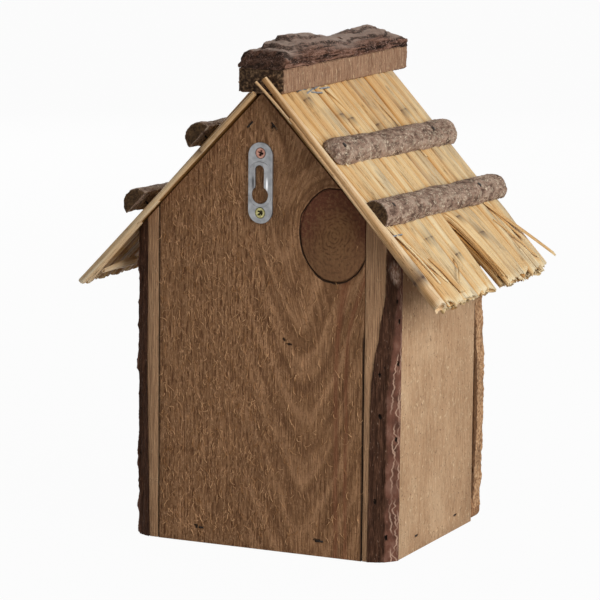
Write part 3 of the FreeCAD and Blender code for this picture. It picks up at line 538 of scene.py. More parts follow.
def screw_head(name, shades, screw, turn):
    """Plated cross-head screw: a dull metal sheen, with painted shade in its cross recess and round its rim.
    """
    material, node = new_material(name)
    first, last = spread(screw)
    radius = (last.x - first.x) / 2
    place = node("TexCoord").outputs["Object"]
    away = offset_from(node, place, (first + last) / 2, (radius, 0, radius))
    reach = node("VectorMath.LENGTH", away)
    arms = node("VectorMath.ABSOLUTE", node("Mapping", away, sockets={"Rotation": (0, turn, 0)}))
    wide, _, tall = node("SeparateXYZ", arms).outputs
    slim = node("MapRange", node("Math.MINIMUM", wide, tall), 0.22, 0.12, 0, 1)
    # Painted shade: the cross recess and a ring round the rim go near black
    cross = only_where(node, slim, reach, 0.62, 0.5, 0, 0.96)
    rim = node("MapRange", reach, 0.8, 0.98, 0, 0.9)
    cloud = pattern(node, place, 1.2, detail=3)
    colour = node("ValToRGB", cloud, stops=zip((0.35, 0.65), shades))
    colour = lay_over(node, colour, (node("Math.MAXIMUM", cross, rim), "120D0A"))
    return finish_material(material, node, colour, cloud, 0.1, 0.05, 0.4, 0.5, 1.0)


def clouded(name, shades, size, detail, *finish):
    """One even surface: plated wire, a metal sheen that clouds over in places, or torn pine fibre, a matt
    strand that stands pale before the stained board."""
    material, node = new_material(name)
    cloud = pattern(node, node("TexCoord").outputs["Object"], size, detail=detail)
    colour = node("ValToRGB", cloud, stops=zip((0.35, 0.65), shades))
    return finish_material(material, node, colour, cloud, 0.1, 0.05, *finish)


PANEL_SHADES = ("69462E", "9B724F", "D2A178")
# Painted shade of the narrow gaps between the back panel and the walls, drawn as dark lines along the
# panel's edges
GAP_SHADE = "22160E"
RED_STAIN = "8E583E"

back_wood = sawn_wood(
    "rough_sawn_stained_pine", PANEL_SHADES, (-23, 51), taper=0.42, knot=KNOT, fuzz=1.0, arches=0.54,
    stain_and_shade_bands=((-39.2, 2.2, RED_STAIN, 0.6, 4), (-44.4, 1.8, RED_STAIN, 0.55, 4), (55.2, 1.1, GAP_SHADE, 1, 0),
            (-55.2, 1.3, GAP_SHADE, 1, 0)),
    pits=((33.8, 8, 2.2, 1.3), (-31.6, 8.1, 2.4, 1.3), (-5.6, 208.8, 0.9, 2.4), (-13, 106, 1.6, 0.9),
          (-15.6, 103.8, 1.6, 0.7)))
front_wood = sawn_wood("rough_sawn_stained_pine_front", PANEL_SHADES, (18, -52), fuzz=0.8)
inner_wood = sawn_wood("sawn_pine_inside", PANEL_SHADES, (10, -20), fuzz=0.4, turn=(math.pi / 2, 0, 0))
wall_wood = sawn_wood(
    "sawn_pine_wall", ("8F6A4B", "C09B78", "E4C5A0"), (-40, 20), taper=0.05, fuzz=0.4, arches=0.25,
    contrast=0.62, flecks=1.0, rear=("846248", "B88E6A", "D2A880"))
slab_wood = sawn_wood(
    "sawn_ridge_pine", ("7C5C47", "A17D62", "BF9C7F"), (90, 200), fuzz=0.8, flecks=0.6, contrast=1.5,
    end=("2C1E16", "54402F", "9A7A5C"))
edge_bark = corner_bark(
    "larch_edge_bark", ("26160E", "4A2F20", "7E5A46"), ("4E3227", "70493A", "8A6656"), "D0AC94", 7,
    ((0.74, 0.5), (0.86, 0.6), (0.95, 0.4)))
front_bark = corner_bark(
    "larch_edge_bark_front", ("3A2618", "66472F", "8E6A4A"), ("76543A", "BE936C", "DEBB94"), "DCBC98", 1.3)
batten_bark = flaky_bark(
    "branch_bark", ("5A463B", "957A69", "B29886"), "E2CDB4", ("3E2E22", "6A5138"), (1.2, 9, 1.2),
    (2.4, 3.8, 2.4), 0.95, 0.18, "A58C7C", 0.08)
ridge_bark = flaky_bark(
    "slab_bark", ("20130D", "664536", "9A7664"), "C69E8C", ("1E140F", "433226"), (0.8, 14, 0.5),
    (1.1, 4, 0.7), 0.9, 0.16, "AE988A")
reed_top = dried_reed("dried_reed", ("96602A", "C69150", "DAAF76", "E6C793", "F0DDB6"))
reed_under = dried_reed("inner_reed", ("8E6230", "B08650", "C6A570", "D2B88A", "DCC8A4"))
reed_edge = dried_reed("weathered_edge_reed", ("94623A", "C49662", "DAB182", "E8CAA0", "F3DEBC"))
fibre = clouded("torn_pine_fibre", ("9E7046", "E0B284"), 4, 2, 0.8, 0.15)
zinc = zinc_sheet()
copper_zinc = screw_head("zinc_plated_screw", ("A07062", "C09484"), "hanger_screw_upper", 0.3)
yellow_zinc = screw_head("yellow_passivated_screw", ("97905E", "C2BA86"), "hanger_screw_lower", 0.75)
bright_wire = clouded("galvanised_wire", ("787C82", "A2A6AC"), 1.2, 3, 0.5, 0.5, 1.0)
dull_wire = clouded("dull_staple_wire", ("2A2420", "463E38"), 1.2, 3, 0.6, 0.5, 1.0)

# Boards

FRONT_EDGE = 66


def front_inset(z):
    """How far the sides of the front panel lie inside the solid's at a height."""
    return 2.1 + 1.5 * z / 150 + 0.9 * smooth(80, 112, z)


boards = {board: dress_board(board, wood, slot, edge) for board, wood, slot, edge in (
    ("back_panel", back_wood, "panel_wood", 0.5), ("front_panel", front_wood, "panel_wood", 0.6),
    ("floor_panel", inner_wood, "panel_wood", 0.4), ("left_roof_board", inner_wood, "panel_wood", 0.4),
    ("right_roof_board", inner_wood, "panel_wood", 0.4), ("left_side_wall", wall_wood, "wall_wood", 0.4),
    ("right_side_wall", wall_wood, "wall_wood", 0.4))}
for vertex in boards["front_panel"].data.vertices:
    if abs(vertex.co.x) > FRONT_EDGE * MM:
        vertex.co.x -= math.copysign(front_inset(vertex.co.z / MM), vertex.co.x) * MM

# Torn fibres on the back panel

FIBRES = 1500
FIBRE_SEED = 5
FIBRE_RINGS = 7
FIBRE_X = (-54, 54)
FIBRE_Z = (6, 215)
PLATE_ROOM = Vector((3, 0, 6))
# Shares of the fibres that stay on the knot and on the smoother side of the board, left of an x
KNOT_SHARE = 0.02
SMOOTH_SHARE = 0.35
SMOOTH_SIDE = -8


def lay_fibre(strand, chance, x, z):
    """Copies the strand as a fibre that leaves the back panel at a place and curls away."""
    piece = new_piece("fibre", strand.data)
    heading = chance.choice((-1, 1)) * math.pi / 2 + chance.gauss(0, 0.4)
    curl = chance.gauss(0, 1.3) / FIBRE_RINGS
    step = chance.uniform(1.5, 4.8) / FIBRE_RINGS
    thick, lift = chance.uniform(0.1, 0.22), chance.uniform(0.2, 0.9)
    path = []
    for ring in range(FIBRE_RINGS + 1):
        path.append((x, z, heading))
        x += step * math.cos(heading)
        z += step * math.sin(heading)
        heading += curl
    for vertex in piece.data.vertices:
        u, v, along = vertex.co
        x, z, heading = path[round(along * FIBRE_RINGS)]
        size = thick * (1 - 0.6 * along)
        vertex.co = Vector((x - size * u * math.sin(heading), REAR + lift * math.sin(2.4 * along) + size * v,
                            z + size * u * math.cos(heading))) * MM
    return piece


def make_fibres():
    """A pelt of fibres over the back, away from the plate, with few on the knot."""
    strand = make_rod(4)
    cut_lengths(strand, FIBRE_RINGS)
    chance = random.Random(FIBRE_SEED)
    plate_low, plate_high = spread("hanger_plate")
    low, high = plate_low - PLATE_ROOM, plate_high + PLATE_ROOM
    fibres = []
    while len(fibres) < FIBRES:
        x, z = chance.uniform(*FIBRE_X), chance.uniform(*FIBRE_Z)
        knot = math.hypot((x - KNOT[0]) / KNOT[2], (z - KNOT[1]) / KNOT[3])
        plate = low.x < x < high.x and low.z < z < high.z
        share = KNOT_SHARE if knot < 1.1 else 1 if x > SMOOTH_SIDE else SMOOTH_SHARE
        if z > APEX - 6 - abs(x) * RISE / RUN or plate or chance.random() > share:
            continue
        fibres.append(lay_fibre(strand, chance, x, z))
    bpy.data.objects.remove(strand)
    pelt = join_pieces(fibres, "back_panel_fibres")
    face_outwards(pelt)
    keep_piece(pelt, fibre, "panel_wood")


make_fibres()

# Bark on the edges of the boards

# Beetle holes: share of the way across the bark, height and radius
HOLES = {LEFT: ((0.52, 129, 1.0), (0.35, 92, 0.9), (0.2, 88, 0.8), (0.3, 69, 1.0), (0.2, 28, 0.9),
                (0.55, 12, 0.9), (0.8, 118, 0.8), (0.85, 97, 0.9), (0.7, 135, 0.8), (0.85, 60, 0.8)),
         RIGHT: ((0.6, 110, 1.0), (0.4, 40, 1.0), (0.7, 75, 0.8))}
BARK_COLUMNS = 48
BARK_FACE = 38
BARK_ROWS = 240
SCAR_ACROSS = 0.45
SCAR_HEIGHT = 142


def bark_relief(side, across, breadth, z):
    """Relief in mm of the corner bark at a share of its breadth, and its mark: below 0 in a hole, above 0 on
    a scar."""
    mark = 0
    far = across * breadth
    bast = 1 - smooth(0.45, 0.62, across)
    relief = 0.8 * bast * blob(far * 0.6, 3, z * 0.05 + 7 * side)
    relief += 0.5 * blob(far * 0.2, 8, z * 0.07) + 0.2 * blob(far, 4, z * 0.3)
    for hole_across, hole_z, radius in HOLES[side]:
        away = math.hypot((across - hole_across) * breadth, z - hole_z)
        sunk = 1 - smooth(0.4 * radius, 1.0 * radius, away)
        mark -= 2 * sunk
        relief -= 1.4 * sunk
    if side == LEFT:
        scar = math.exp(-((across - SCAR_ACROSS) / 0.3) ** 2 - ((z - SCAR_HEIGHT) / 5) ** 2)
        relief += scar * (0.6 + 1.6 * blob(far * 0.7, 5, z * 0.6))
        mark += scar
    else:
        relief += 2 * max(blob(far * 0.2, 9, z * 0.1) + 0.4 * blob(far, 9, z * 0.6) - 0.1, 0)
    return relief, mark


def make_corner_bark(side, word):
    """A tall tube shaped to the bark's section: two planes outside, one flat side on the wall."""
    piece = make_rod(BARK_COLUMNS)
    piece.name = f"{word}_corner_bark"
    cut_lengths(piece, BARK_ROWS)
    marks = []
    for vertex in piece.data.vertices:
        column = round(math.atan2(vertex.co.y, vertex.co.x) / (2 * math.pi) * BARK_COLUMNS) % BARK_COLUMNS
        z = vertex.co.z * (APEX - OUTER * RISE / RUN)
        edge = INNER + follow(STRIPS[side], z)
        edge += 0.5 * blob(1, 5 * side, z * 0.11) + 0.25 * blob(2, side, z * 0.5)
        chord = Vector((OUTER - edge, -WANE))
        out = Vector((WANE, OUTER - edge)).normalized()
        relief, mark = 0, 0
        if column <= BARK_FACE:
            across = column / BARK_FACE
            relief, mark = bark_relief(side, across, chord.length, z)
            free = smooth(0, 0.12, across) * smooth(1, 0.9, across)
            height = 0.4 + 2.3 * (1 - abs(2 * across - 1)) ** 0.8 + (0.25 + 0.75 * free) * relief
        else:
            across = (BARK_COLUMNS - column) / (BARK_COLUMNS - BARK_FACE)
            height = -0.2
        spot = Vector((edge, REAR)) + across * chord + height * out
        vertex.co = Vector((side * spot.x, spot.y, vertex.co.z * (APEX - spot.x * RISE / RUN - 0.2))) * MM
        marks.append((relief, across, mark))
    set_attribute(piece, "bark", marks)
    face_outwards(piece)
    keep_piece(piece, edge_bark, "bark", f"{word}_wall_bark")


def make_front_bark(side, word):
    """Low bark relief on an edge of the front panel, moved in with the panel's side."""
    def move(place, normal):
        relief = 0.8 * blob(place.x, place.y * 0.3, place.z * 0.12) + 0.5 * blob(*(place * 0.5))
        # Next to the wall the bark turns to dark bast: partly its own colour, partly painted shade of the
        # gap beside the wall
        outside = smooth(-47.6, -48.9, place.y)
        aside = side * (max(relief, -0.3) - front_inset(place.z))
        return place + Vector((aside, 0, 0)), (relief, outside, 0)

    rough_piece(f"front_{word}_bark", f"front_{word}_edge_bark", 0.6, move, front_bark, "bark")


for hand, hand_word in SIDES:
    make_corner_bark(hand, hand_word)
    make_front_bark(hand, hand_word)

# Ridge

BARK_LAYER = 3.4
# How much higher than the solid's the crown of the ridge lies at each y
RIDGE_SWELL = ((-92, 0), (-84, 0.4), (-70, 0.2), (-50, -1), (-25, -0.6), (-10, 1.8), (25, 2), (40, 1.6),
               (60, 1.7))


def rough_slab(place, normal):
    """Saw-torn ends and a worn corner; the sides stay flat."""
    x, y, z = place
    end = smooth(0.6, 0.95, abs(normal.y))
    corner = smooth(0.95, 0.75, max(abs(normal.x), abs(normal.y), abs(normal.z)))
    relief = 0.3 * blob(*(place * 0.9)) + 0.8 * end * blob(x * 0.25, 3, z * 0.25)
    relief += 0.5 * blob(x * 0.1, y * 0.07, z * 0.2) + 0.3 * blob(x, y * 0.5, z * 0.15)
    relief += corner * (1.1 * blob(x * 0.6, y * 0.3, z * 0.8) + 0.5 * blob(x, y * 0.9, z) - 0.5)
    return place + normal * relief * (0.6 + 0.5 * max(end, corner)), (0, end, 0)


def rough_ridge(place, normal):
    """Layers of bark that end in ledges, like the contours of a hill, with ragged edges over the slab."""
    x, y, z = place
    over = z - SLAB_TOP
    free = smooth(0.1, 0.8, over)
    end = smooth(0.75, 0.95, abs(normal.y))
    flank = smooth(0.5, 0.9, abs(normal.x))
    top = smooth(0.6, 0.9, normal.z)
    wander = 3.4 * blob(x * 0.06, y * 0.03, 1) + 1.1 * blob(x * 0.18, y * 0.08, 5)
    wander += 0.5 * blob(x * 0.5, y * 0.3, 2)
    step = (over + wander) / BARK_LAYER % 1
    riser = smooth(0, 0.06, step) * smooth(0.3, 0.18, step)
    terrace = (smooth(0.02, 0.26, step) - step) * BARK_LAYER * (0.35 + 0.65 * smooth(10, 42, y))
    bands = blob(3, y * 0.03, z * 0.75) + 0.7 * blob(x * 0.3, y * 0.09, z * 1.7)
    relief = 1.1 * flank * bands + 0.3 * blob(x * 0.5, y * 0.12, z * 0.9)
    relief += 0.4 * end * blob(x * 0.7, 3, z * 0.7)
    ragged = max(blob(x, y * 0.05, 4) + 0.5 * blob(x, y * 0.3, 7), 0)
    hang = (1.6 * ragged * flank + 1.6 * end) * smooth(2.5, 0, over)
    moved = place + normal * (free * relief * 1.1 + 0.3 * flank + 0.5 * end)
    moved.z += 0.8 * free * (1 - flank) * (1 - 0.6 * end) * (terrace + follow(RIDGE_SWELL, y)) - hang
    moved.y -= max(over - 0.8, 0) * (1.3 * smooth(44, 59, y) - 0.7 * smooth(-80, -91, y))
    # Painted shade: a dark line on each ledge's riser, where the pale plate tone also thins; the flanks are
    # a little darker
    shade = 0.25 * relief - 0.06 * flank - 0.2 * riser * (1 - flank)
    return moved, (shade, 0.5 * end, 0.9 * top * (1 - 0.6 * riser))


rough_piece("ridge_slab", "ridge_sawn_slab", 0.8, rough_slab, slab_wood, "ridge_wood")
rough_piece("ridge_bark", "ridge_bark_crown", 0.7, rough_ridge, ridge_bark, "ridge_bark")

# Battens

ROUND_END = 9


def rough_batten(node, rounded):
    """Flakes that stand in thin crests; a rounded batten narrows to its rear end, with bark over it."""
    low, high = spread(node)
    middle = (low + high) / 2

    def move(place, normal):
        x, y, z = place
        end = smooth(0.75, 0.95, abs(normal.y))
        flake = smooth(-0.04, 0.06, blob(x * 0.22, y * 0.13, z * 0.22)) - 0.5
        flake += 0.7 * smooth(-0.04, 0.06, blob(x * 0.45 + 9, y * 0.3, z * 0.45)) - 0.35
        relief = 0.2 * flake + 0.6 * blob(x * 0.08, y * 0.05, z * 0.08) + 0.2 * blob(*(place * 0.6))
        moved = place + normal * relief * (1 - 0.6 * end)
        if rounded and y > 0:
            narrow = 0.75 * (1 - math.sqrt(1 - min(max((y - high.y + ROUND_END) / ROUND_END, 0), 1) ** 2))
            moved += narrow * Vector((middle.x - x, 0, middle.z - z))
            end *= 0.2
        return moved, (0.12 * flake, end, 0)

    return move


for hand, hand_word in SIDES:
    for level in ("upper", "lower"):
        branch = f"{hand_word}_{level}_batten"
        shape = rough_batten(branch, branch == "left_upper_batten")
        rough_piece(branch, f"{hand_word}_{level}_branch", 0.5, shape, batten_bark, "batten_bark")

# Thatch

REED_WALL = 0.34
HOLLOW = 0.6
JOINT_STEPS = (-0.7, 0, 0.7, 3, 6)
SLIT = -5
SLIT_START = 89
STEM_START = 4
STEM_END = 137.6
EAVE = 138
THATCH_SEED = 11
# Rings and sides of the two reeds that every stem is shaped from
WHOLE_REED = (36, 14)
THIN_REED = (10, 6)
# Side by side, stems overlap: each takes this share of its half width
PACKING = 1.86
SLATS = 11
EAVE_SPLINTERS = 40
# Stems at each slope's rear edge: top and bottom (s, y, n), half width, half height, tone, joints, bend,
# swell, painted groove shade, grey, fray, how they move aside and how far the stain of a joint reaches
EDGE_STEMS = {
    LEFT: (((-3.4, 61.4, 7.3), (136.6, 66.2, 5.0), 3.0, 2.9, 0.42, [0.88], 0.25, (0.48, 1.14), 0.5, 0, 0.5,
            None, 3),
           ((-4.8, 63.6, 3.6), (22, 63.4, 4.6), 0.7, 0.7, 0.4, (), 0.15),
           ((20, 63.6, 5.0), (128, 67.2, 4.2), 0.9, 0.9, 0.1, (), 0.3)),
    RIGHT: (((0.5, 63.8, 1.2), (136.5, 64.4, 1.6), 1.3, 1.3, 0.3, [0.3], 0.15, (0.9, 1.2), 0, 0.2),
            ((76, 63.5, 0.6), (136, 66, 0.4), 1.4, 1.2, 0.4, (), 0.3, (1, 1), 0, 0.2),
            ((92, 62, 0.2), (134, 64, -1.1), 1.5, 1.1, 0.4, (), 0.3, (1, 1), 0, 0.2))}
# The broken piece under the right eave
BROKEN_STEM = ((124, 63, -3.0), (121, 36, -3.6), 2.6, 1.9, 0.45, (), 0.2, (0.5, 1.2))
# Loose strands of the left slope: top and bottom (s, y, n), half width, half height, tone and bend
LEFT_STRAYS = (
    ((93, -56, 8.4), (133.5, -83.6, 9.4), 1.8, 0.3, 0.15, -0.3),
    ((110, 18.5, 8.0), (131, 34, 8.3), 0.45, 0.3, 0.35, 2.6),
    ((112, 44, 7.6), (134, 40, 8.2), 2.2, 0.4, 0.05, 1.0),
    ((96, 57, 7.4), (127, 47, 8.4), 0.7, 0.4, 0.5, 1.2),
    ((104, -52, 7.9), (131, -67, 8.3), 0.6, 0.3, 0.1, 0.5),
    ((96, -58, 7.9), (118, -67, 8.1), 1.3, 0.3, 0.0, 0.4),
    ((6, 60.5, 7.4), (54, 54, 7.9), 0.5, 0.3, 0.5, 1.4),
    ((4, 61, 7.0), (40, 57, 8.0), 0.4, 0.3, 0.2, 1.0),
    ((64, 61.5, 7.4), (104, 58, 7.9), 0.9, 0.3, 0.6, 0.8),
    ((78, 62, 7.2), (126, 55, 8.2), 0.7, 0.3, 0.55, 1.0),
    ((10, 12, 8.0), (44, 6, 8.0), 0.6, 0.3, 0.1, 0.8),
    ((12, -30, 8.0), (60, -36, 8.0), 0.6, 0.3, 0.1, 0.8),
    ((14, 36, 7.8), (70, 33, 7.9), 0.5, 0.3, 0.1, 0.8))
# Joints that show on the left slope's stems: s and y
LEFT_JOINTS = ((13, 34), (25.4, 17.2), (28.8, 10.4), (35.4, -15), (31, -53.5), (108, -24), (96, -13.4),
               (114.6, 5.3), (102, 25.4))
# Layers: name, rear end on each slope, height, least and most half width, half height, material
LAYERS = (("under", {LEFT: 57.5, RIGHT: 62}, 1.5, 2.0, 3.4, 1.4, reed_under),
          ("top", {LEFT: 59.5, RIGHT: 46}, 5.5, 3.4, 6.6, 1.9, reed_top))


def make_reed_pattern(rings, sides):
    """One reed of unit radius and length, with hollow ends, for every stem to be shaped from."""
    reed = make_rod(sides)
    reed["rings"] = rings
    for end in (-1, 1):
        edit_where(reed, bpy.ops.mesh.inset, lambda face: face.normal.z * end > 0.9, thickness=REED_WALL)
        edit_where(reed, bpy.ops.mesh.extrude_region_move,
                   lambda face: face.normal.z * end > 0.9 and len(face.vertices) == sides,
                   TRANSFORM_OT_translate={"value": (0, 0, -end / rings)})
    cut_lengths(reed, rings)
    return reed


def lay_reed(pattern_reed, chance, side, top, bottom, wide, tall, tone, joints=(), bend=0.4, swell=(1, 1),
             groove_shade=0.0, grey=0.0, fray=0.4, aside=None, stain=1):
    """Copies the reed along a slope between two points (s, y, n); swell is its thickness at either end."""
    reed = new_piece("reed", pattern_reed.data)
    rings = pattern_reed["rings"]
    top, way = Vector(top), Vector(bottom) - Vector(top)
    length = way.length
    across = Vector((-way.y, way.x, 0)).normalized()
    shares = [index / rings for index in range(rings + 1)]
    for joint in joints:
        nearest = min(range(2, rings - 5), key=lambda index: abs(shares[index] - joint))
        for index, step in enumerate(JOINT_STEPS):
            shares[nearest - 1 + index] = joint + step / length
    offset = Vector((chance.random(), chance.random(), chance.random()))
    phase, lift = chance.uniform(0, 6.28), chance.uniform(0, 6.28)
    slant = chance.uniform(-0.4, 0.4)
    stem, marks = [], []
    for vertex in reed.data.vertices:
        u, v, along = vertex.co
        ring = min(max(round(along * rings), 0), rings)
        share = shares[ring]
        if math.hypot(u, v) < 0.9 and 0 < ring < rings:
            share = HOLLOW / length if share < 0.5 else 1 - HOLLOW / length
        far = [(share - joint) * length for joint in joints]
        size = swell[0] + (swell[1] - swell[0]) * share + 0.04 * math.sin(9 * share + phase)
        size += 0.06 * sum(math.exp(-(away / 1.4) ** 2) for away in far)
        place = top + share * way + across * (u * wide * size + bend * math.sin(4.2 * share + phase))
        place.z += v * tall * size + 0.5 * bend * math.sin(5 * share + lift)
        if ring == rings:
            place += way / length * (slant * u * wide + chance.gauss(0, fray))
        if aside:
            place.y += aside(place.x)
        smudge = sum(0.8 * math.exp(-(away / (0.8 * stain)) ** 2) + 0.5 * math.exp(-((away - 2) / 1.8) ** 2)
                     for away in far)
        # Painted shade: the lower half of each stem is darkened where it meets its neighbours; the last 3 mm
        # at the cut end are paler
        shade = groove_shade * smooth(0.95, 0.35, v) - 0.4 * smooth(length - 3, length, share * length)
        # Painted shade under the ridge slab: the stems darken towards the top of the slope
        shade += 0.18 * smooth(50, 12, place.x)
        marks.append((tone - shade, min(smudge, 1), grey))
        stem.append(offset + Vector((u * wide, v * tall, share * length)) * MM)
        vertex.co = roof_point(side, *place)
    set_attribute(reed, "stem", stem)
    set_attribute(reed, "reed", marks)
    return reed


def bundle(reeds, label, material, *nodes):
    """Joins reeds into one piece that stands for a layer of the thatch."""
    piece = join_pieces(reeds, label)
    face_outwards(piece)
    keep_piece(piece, material, "reed", *nodes)


def part_bundles(y):
    """How far a stem moves aside down the slope, where the left thatch parts in two bundles."""
    def aside(s):
        below = max(s - SLIT_START, 0)
        if y > SLIT:
            return 0.11 * below * ((THATCH_REAR - y) / (THATCH_REAR - SLIT)) ** 2
        bulge = 4 * math.exp(-((s - 98) / 12) ** 2) * smooth(-62, THATCH_FRONT, y)
        opening = 15 * (1 - math.exp(-below / 14))
        return -opening * ((y - THATCH_FRONT) / (SLIT - THATCH_FRONT)) ** 2 - bulge

    return aside


def left_strays(splinter, chance):
    """What is loose on the left slope: strands, split sheaths, splinters at the eave, and the slats on the
    flank of the slit."""
    reeds = [lay_reed(splinter, chance, LEFT, top, bottom, wide, tall, tone, (), bend)
             for top, bottom, wide, tall, tone, bend in LEFT_STRAYS]
    # The slats on the flank of the slit darken as they lie deeper: partly the browner inner reed, partly
    # painted shade in the slit
    for index in range(SLATS):
        level = 7.0 - 0.62 * index
        reeds.append(lay_reed(
            splinter, chance, LEFT, (chance.uniform(88, 91), SLIT - 0.6, level),
            (chance.uniform(126, EAVE), SLIT - 0.5 + chance.gauss(0, 0.5), level - chance.uniform(0, 0.6)),
            chance.uniform(0.6, 1.3), chance.uniform(0.3, 0.5), 0.1 - 0.05 * index, (), 0.5, fray=0.2,
            aside=part_bundles(SLIT)))
    for index in range(EAVE_SPLINTERS):
        y, n = chance.uniform(-74, 62), chance.uniform(0.4, 6.8)
        y_moved = y + part_bundles(y)(EAVE)
        start = (chance.uniform(122, 130), y_moved, n)
        reeds.append(lay_reed(
            splinter, chance, LEFT, start, (chance.uniform(135, EAVE), y_moved + chance.gauss(0, 0.6), n),
            chance.uniform(0.5, 1.4), chance.uniform(0.3, 0.6), chance.uniform(0.4, 0.7), (), 0.2, fray=0.3))
    return reeds


def stem_rows(chance, rear, front, slim, broad):
    """Middles and half-widths of stems that lie side by side from one y to another."""
    widths = []
    while PACKING * sum(widths) < rear - front:
        widths.append(chance.uniform(slim, broad))
    fit = (rear - front) / (PACKING * sum(widths))
    rows = []
    for width in widths:
        rows.append((rear - PACKING / 2 * width * fit, width * fit))
        rear -= PACKING * width * fit
    return rows


def thatch_slope(whole, splinter, side, word, seed):
    """Two layers of flattened stems, with what is loose on the slope in its upper layer."""
    chance = random.Random(seed)
    for layer, rear, base, slim, broad, tall, material in LAYERS:
        rows = stem_rows(chance, rear[side], SLIT, slim, broad)
        rows += stem_rows(chance, SLIT, THATCH_FRONT, slim, broad)
        reeds = []
        for y, wide in rows:
            height = base + chance.uniform(-0.5, 0.4)
            tone, groove_shade = chance.uniform(0.22, 0.52), chance.choice((0.35, 0.5, 0.65, 0.95))
            if side == RIGHT and layer == "top":
                height -= 2 * smooth(28, 46, y)
            end = STEM_END + 0.013 * y - abs(chance.gauss(0, 1.0))
            joints = []
            if layer == "top" and side == RIGHT:
                joints = [chance.uniform(0.06, 0.9)]
            elif layer == "top":
                joints = [(s - STEM_START) / (end - STEM_START) for s, joint_y in LEFT_JOINTS
                          if abs(joint_y - y) < wide]
            reeds.append(lay_reed(
                whole, chance, side, (STEM_START, y, height + 1), (end, y + chance.gauss(0, 0.5), height),
                wide * 1.03, tall * chance.uniform(0.9, 1.12), tone, joints, 0.35, (1.03, 0.98), groove_shade,
                chance.choice((0, 0.1, 0.3, 0.8)), 0.35, part_bundles(y) if side == LEFT else None))
        if layer == "top":
            edges = [lay_reed(whole, chance, side, *stem) for stem in EDGE_STEMS[side]]
            if side == RIGHT:
                edges.append(lay_reed(splinter, chance, side, *BROKEN_STEM))
            bundle(edges, f"{word}_edge_reeds", reed_edge)
        if layer == "top" and side == LEFT:
            reeds += left_strays(splinter, chance)
        bundle(reeds, f"{word}_{layer}_reeds", material, f"{word}_thatch_{layer}")


whole_reed = make_reed_pattern(*WHOLE_REED)
thin_reed = make_reed_pattern(*THIN_REED)
for hand, hand_word in SIDES:
    thatch_slope(whole_reed, thin_reed, hand, hand_word, THATCH_SEED + hand)
for pattern_reed in (whole_reed, thin_reed):
    bpy.data.objects.remove(pattern_reed)

# Metal pieces

# Place on the slope (s, y, n) of the staple beside the left edge stem, and what is left of its legs' depth
EDGE_STAPLE = (96, 58.5, 8)
EDGE_DEPTH = 0.2
WIRE_SCALE = 0.85
WIRE_RAISE = 0.3
WIRE_UPHILL = 1.2
WIRE_TURN = 0.16
WIRE_SEED = 3


def dress_metal(node, material, slot):
    piece = copy_node(node, node + "_metal")
    keep_piece(piece, material, slot, node)


def pressed_plate(place, normal):
    """Rounds what stands over the hanger's flat sheet to a low dome, as the press leaves it."""
    raised = smooth(REAR + 1.3, REAR + 2, place.y)
    away = max(smooth(1.8, 5.4, abs(place.x)), smooth(PLATE_MIDDLE - 3, PLATE_MIDDLE - 10, place.z))
    return place - Vector((0, 0.85 * raised * away, 0)), (0, 0, 0)


def dress_thatch_staples(side, word):
    """Staples shot into the reeds by hand, each turned a little in the slope."""
    piece = copy_node(f"{word}_thatch_staples", f"{word}_thatch_wires")
    known = set(bpy.data.objects)
    edit_where(piece, bpy.ops.mesh.separate, type="LOOSE")
    wires = [piece] + sorted(set(bpy.data.objects) - known, key=lambda wire: wire.name)
    if side == LEFT:
        wires.append(new_piece("edge_wire", piece.data))
    chance = random.Random(WIRE_SEED)
    outwards = Vector((side * RISE, 0, RUN))
    uphill = Vector((-side * RUN, 0, RISE))
    for wire in wires:
        turn = Matrix.Rotation(chance.gauss(0, WIRE_TURN), 3, outwards)
        points = wire.data.vertices
        middle = sum((vertex.co for vertex in points), Vector()) / len(points)
        middle += outwards * max((vertex.co - middle).dot(outwards) for vertex in points)
        spot, depth = middle + WIRE_UPHILL * MM * uphill, WIRE_SCALE
        if wire.name == "edge_wire":
            spot, depth = roof_point(LEFT, *EDGE_STAPLE), EDGE_DEPTH
        for vertex in points:
            away = vertex.co - middle
            sunk = away.dot(outwards)
            small = WIRE_SCALE * (away - sunk * outwards) + depth * sunk * outwards
            vertex.co = spot + turn @ small + WIRE_RAISE * MM * outwards
    piece = join_pieces(wires, piece.name)
    keep_piece(piece, bright_wire, "thatch_staple", f"{word}_thatch_staples")


rough_piece("hanger_plate", "hanger_plate_metal", 0.2, pressed_plate, zinc, "galvanised_steel")
dress_metal("hanger_screw_upper", copper_zinc, "zinc_screw")
dress_metal("hanger_screw_lower", yellow_zinc, "yellow_zinc_screw")
for staples in ("floor_staples", "roof_board_staples", "front_panel_staples"):
    dress_metal(staples, dull_wire, "board_staple")
for hand, hand_word in SIDES:
    dress_thatch_staples(hand, hand_word)
for nails in ("batten_nails", "ridge_nails"):
    dress_metal(nails, dull_wire, "nail")

# Floor, light and camera, in metres

FLOOR_SIZE = 16
FLOOR_DROP = 0.0003
WHITE = [1, 1, 1, 1]
SKY = 0.33
LAMP_AIM = (0, 0, 0.12)
VIEW_AIM = (0, 0.018, 0.115)
VIEW_FORWARD = (0.41431, -0.89475, -0.16662)
VIEW_DISTANCE = 1.6884
VIEW_ROLL = 0.009735
SENSOR = 36
LENS = 204
PHOTO_SIDE = 600
PHOTO_SHIFT = (5.09, 6.63)


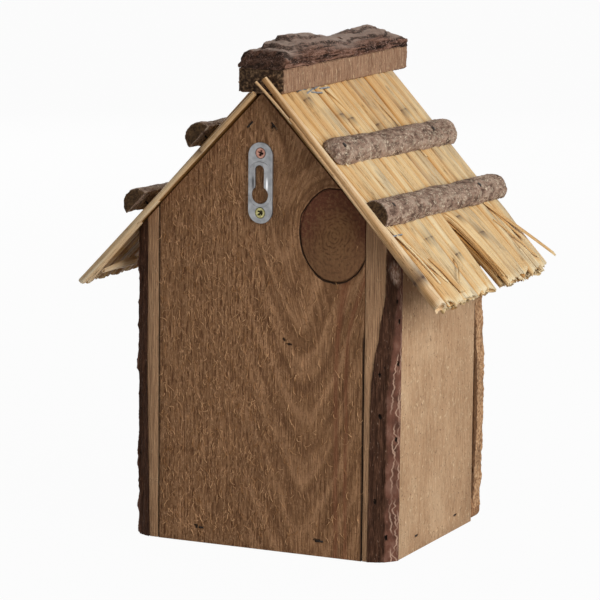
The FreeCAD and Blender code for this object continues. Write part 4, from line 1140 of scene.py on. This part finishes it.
def seen_by_camera(node):
    """1 for a ray from the camera, also by way of a shiny or clear surface, and 0 for light."""
    rays = node("LightPath").outputs
    seen = node("Math.MAXIMUM", rays["Is Camera Ray"], rays["Is Glossy Ray"])
    return node("Math.MAXIMUM", seen, rays["Is Transmission Ray"])


def white_paper():
    """Studio paper: white to the camera, with the soft shadow of what stands on it."""
    material, node = new_material("white_studio_paper")
    paper = node("BsdfDiffuse", hex_colour("BFBFBF"))
    share = node("Math.MULTIPLY", seen_by_camera(node), 0.96)
    node("OutputMaterial", node("MixShader", share, paper, node("Emission", WHITE, 1)))
    return material


def add_lamp(name, place, size, power):
    """A square soft lamp at a place, turned towards the box."""
    bpy.ops.object.light_add(type="AREA", location=place)
    lamp = bpy.context.active_object
    lamp.name = name
    lamp.rotation_euler = (Vector(LAMP_AIM) - Vector(place)).to_track_quat("-Z", "Y").to_euler()
    lamp.data.size = size
    lamp.data.energy = power


bpy.ops.mesh.primitive_grid_add(x_subdivisions=8, y_subdivisions=8, size=FLOOR_SIZE,
                                location=(0, 0, -FLOOR_DROP))
floor = bpy.context.active_object
floor.name = "studio_floor"
make_active(floor)
bpy.ops.object.transform_apply(location=True)
floor.data.materials.append(white_paper())

world = bpy.data.worlds.new("studio_world")
bpy.context.scene.world = world
sky = empty_tree(world)
sky("OutputWorld", sky("Background", WHITE, sky("MapRange", seen_by_camera(sky), 0, 1, SKY, 1)))

add_lamp("key_lamp", (-1.45, 0.45, 0.62), 1.2, 20)
add_lamp("front_fill_lamp", (0.9, -1.4, 0.7), 1.0, 8)

forward = Vector(VIEW_FORWARD).normalized()
level = forward.cross(Vector((0, 0, 1))).normalized()
upright = level.cross(forward)
across = math.cos(VIEW_ROLL) * level + math.sin(VIEW_ROLL) * upright
upward = -math.sin(VIEW_ROLL) * level + math.cos(VIEW_ROLL) * upright
bpy.ops.object.camera_add(location=Vector(VIEW_AIM) - VIEW_DISTANCE * forward,
                          rotation=Matrix((across, upward, -forward)).transposed().to_euler())
camera = bpy.context.active_object
camera.data.sensor_width = SENSOR
camera.data.lens = LENS
camera.data.shift_x, camera.data.shift_y = (shift / PHOTO_SIDE for shift in PHOTO_SHIFT)
bpy.context.scene.camera = camera
bpy.context.scene.view_settings.view_transform = "Standard"
